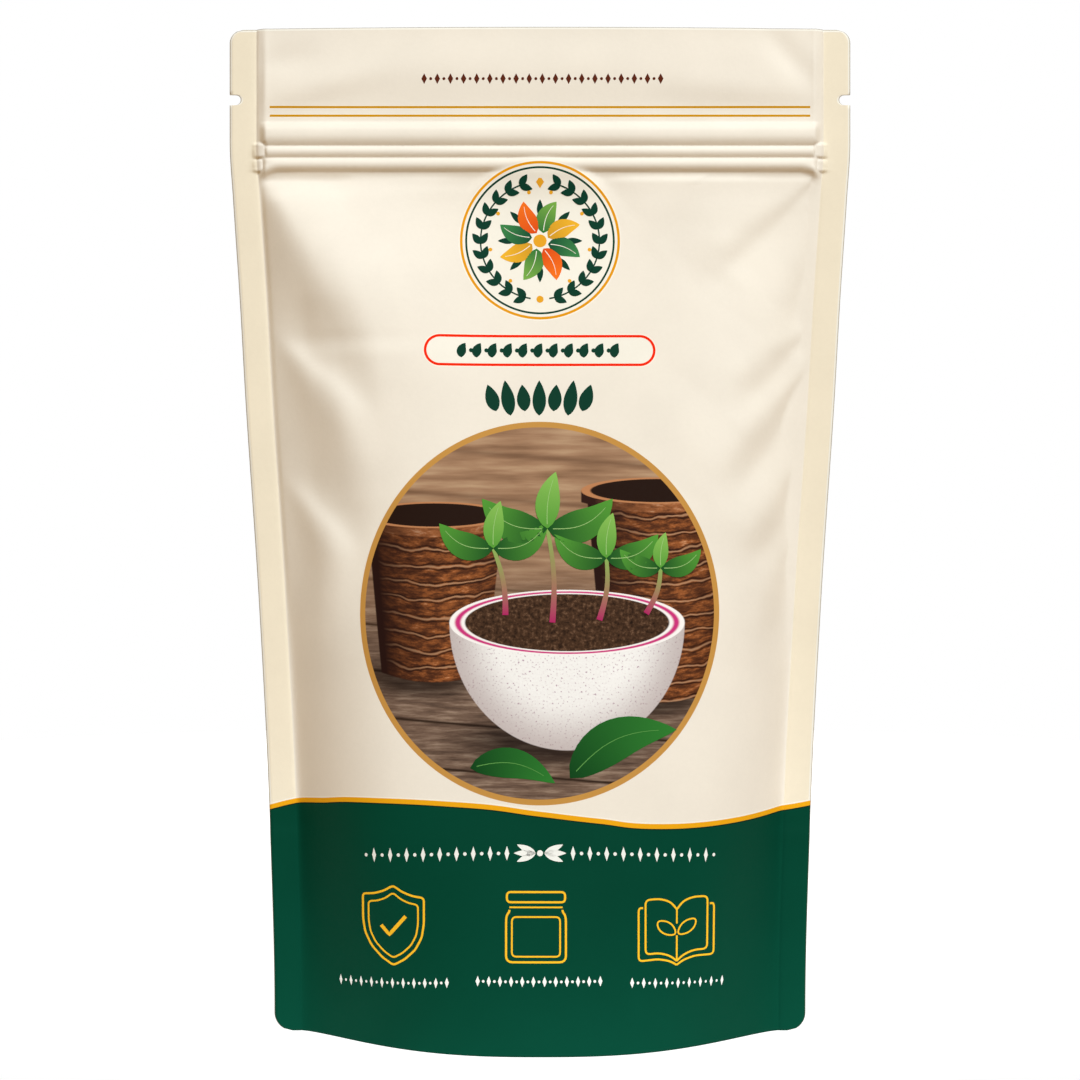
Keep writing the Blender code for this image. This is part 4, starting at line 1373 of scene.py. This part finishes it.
def draw_seedlings(art):
    """The seedlings in the picture: pink stems and green leaves out of the bowl."""
    stem, stem_tip = (0.42, 0.02, 0.12), (0.25, 0.42, 0.10)
    dark, light = (0.010, 0.075, 0.016), (0.09, 0.32, 0.04)
    rib = (0.34, 0.55, 0.20)
    plants = (
        ((-7.0, 87.5), (-9.5, 101.0), 12.0),
        ((2.5, 86.0), (1.5, 105.0), 14.5),
        ((12.0, 86.5), (13.5, 99.0), 11.5),
        ((21.5, 87.8), (24.5, 97.0), 9.0),
    )
    for root, tip, spread in plants:
        root, tip = np.array(root), np.array(tip)
        part = np.linspace(0, 1, 12)[:, None]
        line = root + (tip - root) * part + np.array([[0.8, 0.0]]) * np.sin(np.pi * part)
        art.strip(line, 0.62 - 0.25 * part[:, 0], stem, stem_tip, layer=1)
        for side in (-1, 1):
            reach = np.array([side * spread * 0.92, spread * 0.42])
            art.leaf(tip, tip + reach, spread * 0.46, dark, light, bow=-0.16 * side, rib=rib, layer=2)
        top = tip + np.array([0.12 * spread, spread * 0.80])
        art.leaf(tip, top, spread * 0.34, light, (0.25, 0.50, 0.10), bow=0.06, rib=rib, layer=4)
    fallen, fallen_tip, fallen_rib = (0.006, 0.055, 0.012), (0.03, 0.20, 0.03), (0.12, 0.34, 0.08)
    for base, tip, width in (((6.0, 55.0), (27.5, 64.5), 8.5), ((-14.0, 57.0), (3.0, 54.0), 6.0)):
        art.leaf(base, tip, width, fallen, fallen_tip, bow=0.14, rib=fallen_rib, layer=1)


def make_gusset(materials):
    """The folded base film: sealed to both panels, it arches up to its fold between them."""
    columns = panel_columns()[::2]
    fold = fold_height(place_across(columns, np.full_like(columns, GUSSET_HEIGHT / 2)))
    seal_top = fold.copy()
    for _ in range(8):
        reach = LAYER + belly(place_across(columns, seal_top), seal_top)
        seal_top = fold - GUSSET_ARCH * reach - (1 - GUSSET_ARCH) * LAYER
    rows = []
    for part in np.linspace(0, 1, 17)[:-1] ** 1.4:
        z = seal_top * part
        x = place_across(columns, z, cut_edge=True)
        rows.append((x, -(LAYER + belly(x, z)), z))
    for turn in np.linspace(0, math.pi / 2, 17)[:-1]:
        z = seal_top + (fold - seal_top) * math.sin(turn)
        x = place_across(columns, z, cut_edge=True)
        rows.append((x, -np.maximum(reach * math.cos(turn), LAYER * (turn < 1.4)), z))
    back = [(x, -y, z) for x, y, z in reversed(rows)]
    x = place_across(columns, fold, cut_edge=True)
    rows = rows + [(x, np.zeros_like(x), fold)] + back
    points = np.array([np.stack(row, axis=1) for row in rows])
    run = np.arange(len(rows))[:, None] * np.ones((1, len(columns)))
    mesh = grid_mesh("base_gusset", points, np.stack([points[:, :, 0], run], axis=2))
    middle = mesh.polygons[len(columns) // 2 + 16 * (len(columns) - 1)]
    if middle.normal.z > 0:
        mesh.flip_normals()
    return thicken(finish_mesh("base_gusset", mesh, materials), FILM)


def rib_outline():
    """The front strip's section (y, z): a plate with two arrow-headed ribs."""
    outline = [(-0.62, ZIP_PLATE_LOW), (-0.62, ZIP_PLATE_TOP), (-0.42, ZIP_PLATE_TOP)]
    for z in ZIP_TRACKS:
        outline += [(-0.42, z + 0.22), (0.0, z + 0.22), (0.0, z + 0.42), (0.30, z + 0.16)]
        outline += [(0.30, z - 0.16), (0.0, z - 0.42), (0.0, z - 0.22), (-0.42, z - 0.22)]
    return outline + [(-0.42, ZIP_PLATE_LOW)]


def groove_outline():
    """The back strip's section (y, z): a plate with hooked jaws about each rib."""
    outline = [(0.62, ZIP_PLATE_LOW), (0.62, ZIP_PLATE_TOP), (0.42, ZIP_PLATE_TOP)]
    for z in ZIP_TRACKS:
        upper = [(0.42, z + 0.95), (-0.25, z + 0.95), (-0.25, z + 0.32), (-0.10, z + 0.32)]
        upper += [(-0.10, z + 0.60), (0.42, z + 0.60)]
        outline += upper + [(y, 2 * z - up) for y, up in reversed(upper)]
    return outline + [(0.42, ZIP_PLATE_LOW)]


def make_zip_strip(name, outline, material):
    """A zip strip: its section drawn out across the neck, with flattened, welded ends."""
    half = -ZIP_LOW[0] + 0.8
    places = spaced((0.0, 50.0, 5.0), (50.0, half, 0.6))
    places = np.concatenate([-places[:0:-1], places])
    points, faces = [], []
    count = len(outline)
    for x in places:
        flat = 1 - 0.55 * smooth_step(half - 3.0, half, abs(x))
        middle = 0.52 * (1 if outline[0][0] > 0 else -1)
        points += [(x, middle + (y - middle) * flat, z) for y, z in outline]
    for i in range(len(places) - 1):
        for j in range(count):
            k = (j + 1) % count
            faces.append((count * i + j, count * i + k, count * (i + 1) + k, count * (i + 1) + j))
    faces += [tuple(range(count)), tuple(count * (len(places) - 1) + j for j in reversed(range(count)))]
    mesh = bpy.data.meshes.new(name)
    mesh.from_pydata((np.array(points) * MM).tolist(), [], faces)
    work = bmesh.new()
    work.from_mesh(mesh)
    bmesh.ops.triangulate(work, faces=[face for face in work.faces if len(face.verts) > 4])
    bmesh.ops.recalc_face_normals(work, faces=work.faces)
    work.to_mesh(mesh)
    work.free()
    return finish_mesh(name, mesh, [material], smooth=False)


def heap_point(turn, rise):
    """A point of the heap, at a turn about its middle and a rise from -1 to 1."""
    spread = max(1 - rise ** 2, 0.0) ** 0.225
    x = SEED_HALF_WIDTH * spread * math.cos(turn)
    floor = float(fold_height(x)) + 2.6
    level = (1 + rise) / 2
    z = floor + (SEED_TOP - floor) * level - 9.0 * level ** 4 * (x / SEED_HALF_WIDTH) ** 2
    room = SEED_ROOM * float(belly(x, z))
    y = spread * room * math.copysign(abs(math.sin(turn)) ** 0.7, math.sin(turn))
    return x * MM, y * MM, z * MM


def heap_mesh():
    """The inside of the heap of seeds: it fills the belly from the gusset up."""
    points = [heap_point(0.0, -1.0)]
    for ring in range(1, HEAP_RINGS):
        rise = -math.cos(math.pi * ring / HEAP_RINGS)
        points += [heap_point(math.tau * i / HEAP_SIDES, rise) for i in range(HEAP_SIDES)]
    points.append(heap_point(0.0, 1.0))
    faces, last = [], len(points) - 1
    for i in range(HEAP_SIDES):
        here, there = 1 + i, 1 + (i + 1) % HEAP_SIDES
        faces.append((0, there, here))
        for ring in range(HEAP_RINGS - 2):
            low, high = ring * HEAP_SIDES, (ring + 1) * HEAP_SIDES
            faces.append((here + low, there + low, there + high, here + high))
        top = (HEAP_RINGS - 2) * HEAP_SIDES
        faces.append((last, here + top, there + top))
    mesh = bpy.data.meshes.new("seed_heap")
    mesh.from_pydata(points, [], faces)
    return mesh


def seed_tree():
    """Geometry Nodes: seeds strewn over the heap, each turned and sized at random."""
    inputs = (("Spacing", "Float"), ("Seed size", "Float"), ("Seed coat", "Material"))
    tree = new_tree("strewn seeds", inputs)
    add, link = tree.nodes.new, tree.links.new
    given, result = add("NodeGroupInput"), add("NodeGroupOutput")
    strewn = add("GeometryNodeDistributePointsOnFaces")
    strewn.distribute_method = "POISSON"
    strewn.inputs["Density Max"].default_value = SEEDS_PER_SQUARE_METRE
    strewn.inputs["Seed"].default_value = 5
    link(given.outputs["Geometry"], strewn.inputs["Mesh"])
    link(given.outputs["Spacing"], strewn.inputs["Distance Min"])
    ball = add("GeometryNodeMeshIcoSphere")
    ball.inputs["Subdivisions"].default_value = 2
    link(given.outputs["Seed size"], ball.inputs["Radius"])
    shape = add("GeometryNodeTransform")
    shape.inputs["Scale"].default_value = SEED_SHAPE
    link(ball.outputs["Mesh"], shape.inputs["Geometry"])
    tilt = add("FunctionNodeRandomValue")
    tilt.data_type = "FLOAT_VECTOR"
    tilt.inputs[0].default_value = (-SEED_TILT, -SEED_TILT, 0.0)
    tilt.inputs[1].default_value = (SEED_TILT, SEED_TILT, 6.2)
    tilt.inputs["Seed"].default_value = 11
    rotation = add("FunctionNodeEulerToRotation")
    link(tilt.outputs[0], rotation.inputs[0])
    turned = add("FunctionNodeRotateRotation")
    turned.rotation_space = "LOCAL"
    link(strewn.outputs["Rotation"], turned.inputs[0])
    link(rotation.outputs[0], turned.inputs[1])
    sizes = add("FunctionNodeRandomValue")
    sizes.inputs[2].default_value, sizes.inputs[3].default_value = SEED_SIZES
    sizes.inputs["Seed"].default_value = 23
    place = add("GeometryNodeInstanceOnPoints")
    link(strewn.outputs["Points"], place.inputs["Points"])
    link(shape.outputs[0], place.inputs["Instance"])
    link(turned.outputs[0], place.inputs["Rotation"])
    link(sizes.outputs[1], place.inputs["Scale"])
    real, whole = add("GeometryNodeRealizeInstances"), add("GeometryNodeJoinGeometry")
    coat = add("GeometryNodeSetMaterial")
    link(place.outputs["Instances"], real.inputs[0])
    link(real.outputs[0], whole.inputs[0])
    link(given.outputs["Geometry"], whole.inputs[0])
    link(whole.outputs[0], coat.inputs["Geometry"])
    link(given.outputs["Seed coat"], coat.inputs["Material"])
    link(coat.outputs[0], result.inputs[0])
    return tree


def make_seeds(material):
    """The heap with its seeds."""
    made = finish_mesh("seed_fill_heap", heap_mesh(), [material])
    modifier = made.modifiers.new("strewn seeds", "NODES")
    modifier.node_group = seed_tree()
    sizes = {"Spacing": SEED_SPACING * MM, "Seed size": SEED_SIZE * MM}
    set_inputs(modifier, **sizes, **{"Seed coat": material})
    return apply_modifiers(made)


def make_floor():
    """The pale floor, a wide disc."""
    material = new_material("pale_floor", (0.40, 0.40, 0.40), 0.8)
    shader = material.node_tree.nodes["Principled BSDF"]
    shader.inputs["Emission Color"].default_value = (1.0, 1.0, 1.0, 1.0)
    shader.inputs["Emission Strength"].default_value = FLOOR_GLOW
    mesh = bpy.data.meshes.new("floor")
    work = bmesh.new()
    bmesh.ops.create_circle(work, cap_ends=True, segments=96, radius=FLOOR_RADIUS)
    bmesh.ops.translate(work, verts=work.verts, vec=(0.0, FLOOR_MIDDLE, 0.0))
    work.to_mesh(mesh)
    work.free()
    finish_mesh("floor", mesh, [material])


def add_softbox(name, place, size, power, colour):
    """A square area light that faces the pouch."""
    light = bpy.data.lights.new(name, "AREA")
    light.energy = power
    light.color = colour
    light.shape = "SQUARE"
    light.size = size
    made = bpy.data.objects.new(name, light)
    made.location = place
    towards = mathutils.Vector(POUCH_MIDDLE) - mathutils.Vector(place)
    made.rotation_euler = towards.to_track_quat("-Z", "Y").to_euler()
    bpy.context.scene.collection.objects.link(made)


def set_world():
    """A white background that lights the pouch softly from all round."""
    world = bpy.data.worlds.new("studio")
    world.use_nodes = True
    tree = world.node_tree
    shade = tree.nodes["Background"]
    shade.inputs["Color"].default_value = (*AMBIENT, 1.0)
    shade.inputs["Strength"].default_value = AMBIENT_STRENGTH
    seen = tree.nodes.new("ShaderNodeBackground")
    seen.inputs["Color"].default_value = (1.0, 1.0, 1.0, 1.0)
    seen.inputs["Strength"].default_value = 1.0
    path, either = tree.nodes.new("ShaderNodeLightPath"), tree.nodes.new("ShaderNodeMixShader")
    tree.links.new(path.outputs["Is Camera Ray"], either.inputs[0])
    tree.links.new(shade.outputs[0], either.inputs[1])
    tree.links.new(seen.outputs[0], either.inputs[2])
    tree.links.new(either.outputs[0], tree.nodes["World Output"].inputs["Surface"])
    bpy.context.scene.world = world


def add_camera():
    """The photograph's level view of the front."""
    camera = bpy.data.cameras.new("camera")
    camera.sensor_width = 36.0
    camera.lens = CAMERA_LENS
    made = bpy.data.objects.new("camera", camera)
    made.location = CAMERA_PLACE
    made.rotation_euler = (math.pi / 2, 0.0, 0.0)
    bpy.context.scene.collection.objects.link(made)
    bpy.context.scene.camera = made


set_world()
add_camera()
make_floor()
add_softbox("key", *KEY_LIGHT)
add_softbox("rear", *REAR_LIGHT)
bpy.context.scene.view_settings.view_transform = "Standard"

lining = plain_film_material("film_lining", (0.84, 0.83, 0.80), (0.78, 0.77, 0.74))
cut_edge = plain_film_material("film_cut_edge", (0.90, 0.86, 0.78), (0.84, 0.79, 0.70))
gusset_print = plain_film_material("gusset_film", GREEN, GREEN_DEEP)
ink = print_material("printed_ink")
plastic = plastic_material()

front = make_panel("front_pouch_film", FRONT, [front_film_material(), lining, cut_edge])
back = make_panel("back_pouch_film", BACK, [back_film_material(), lining, cut_edge])
gusset = make_gusset([gusset_print, lining, cut_edge])
rib = make_zip_strip("zip_ribs", rib_outline(), plastic)
groove = make_zip_strip("zip_grooves", groove_outline(), plastic)
seeds = make_seeds(seed_material())

art = Print(FRONT)
spots, lozenges = [], []
draw_rosette(art, spots, lozenges)
draw_title(art)
draw_header(spots, lozenges)
draw_pill(art, spots)
draw_foot_rule(art, spots, lozenges)
draw_captions(spots, lozenges)
draw_pictograms(art)
draw_seedlings(art)
tree = stamp_tree()
artwork = art.piece("front_print", ink)
dots = stamps("front_print_dots", FRONT, spots, 16, tree, ink)
diamonds = stamps("front_print_lozenges", FRONT, lozenges, 4, tree, ink)

for piece, slot, node in (
    (front, "front_film", "front_panel"),
    (back, "back_film", "back_panel"),
    (gusset, "gusset_film", "bottom_gusset"),
    (rib, "zip_plastic", "zip_rib_strip"),
    (groove, "zip_plastic", "zip_groove_strip"),
    (seeds, "seeds", "seed_fill"),
    (artwork, "front_film", None),
    (dots, "front_film", None),
    (diamonds, "front_film", None),
):
    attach(piece, "root")
    if node:
        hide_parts(node)
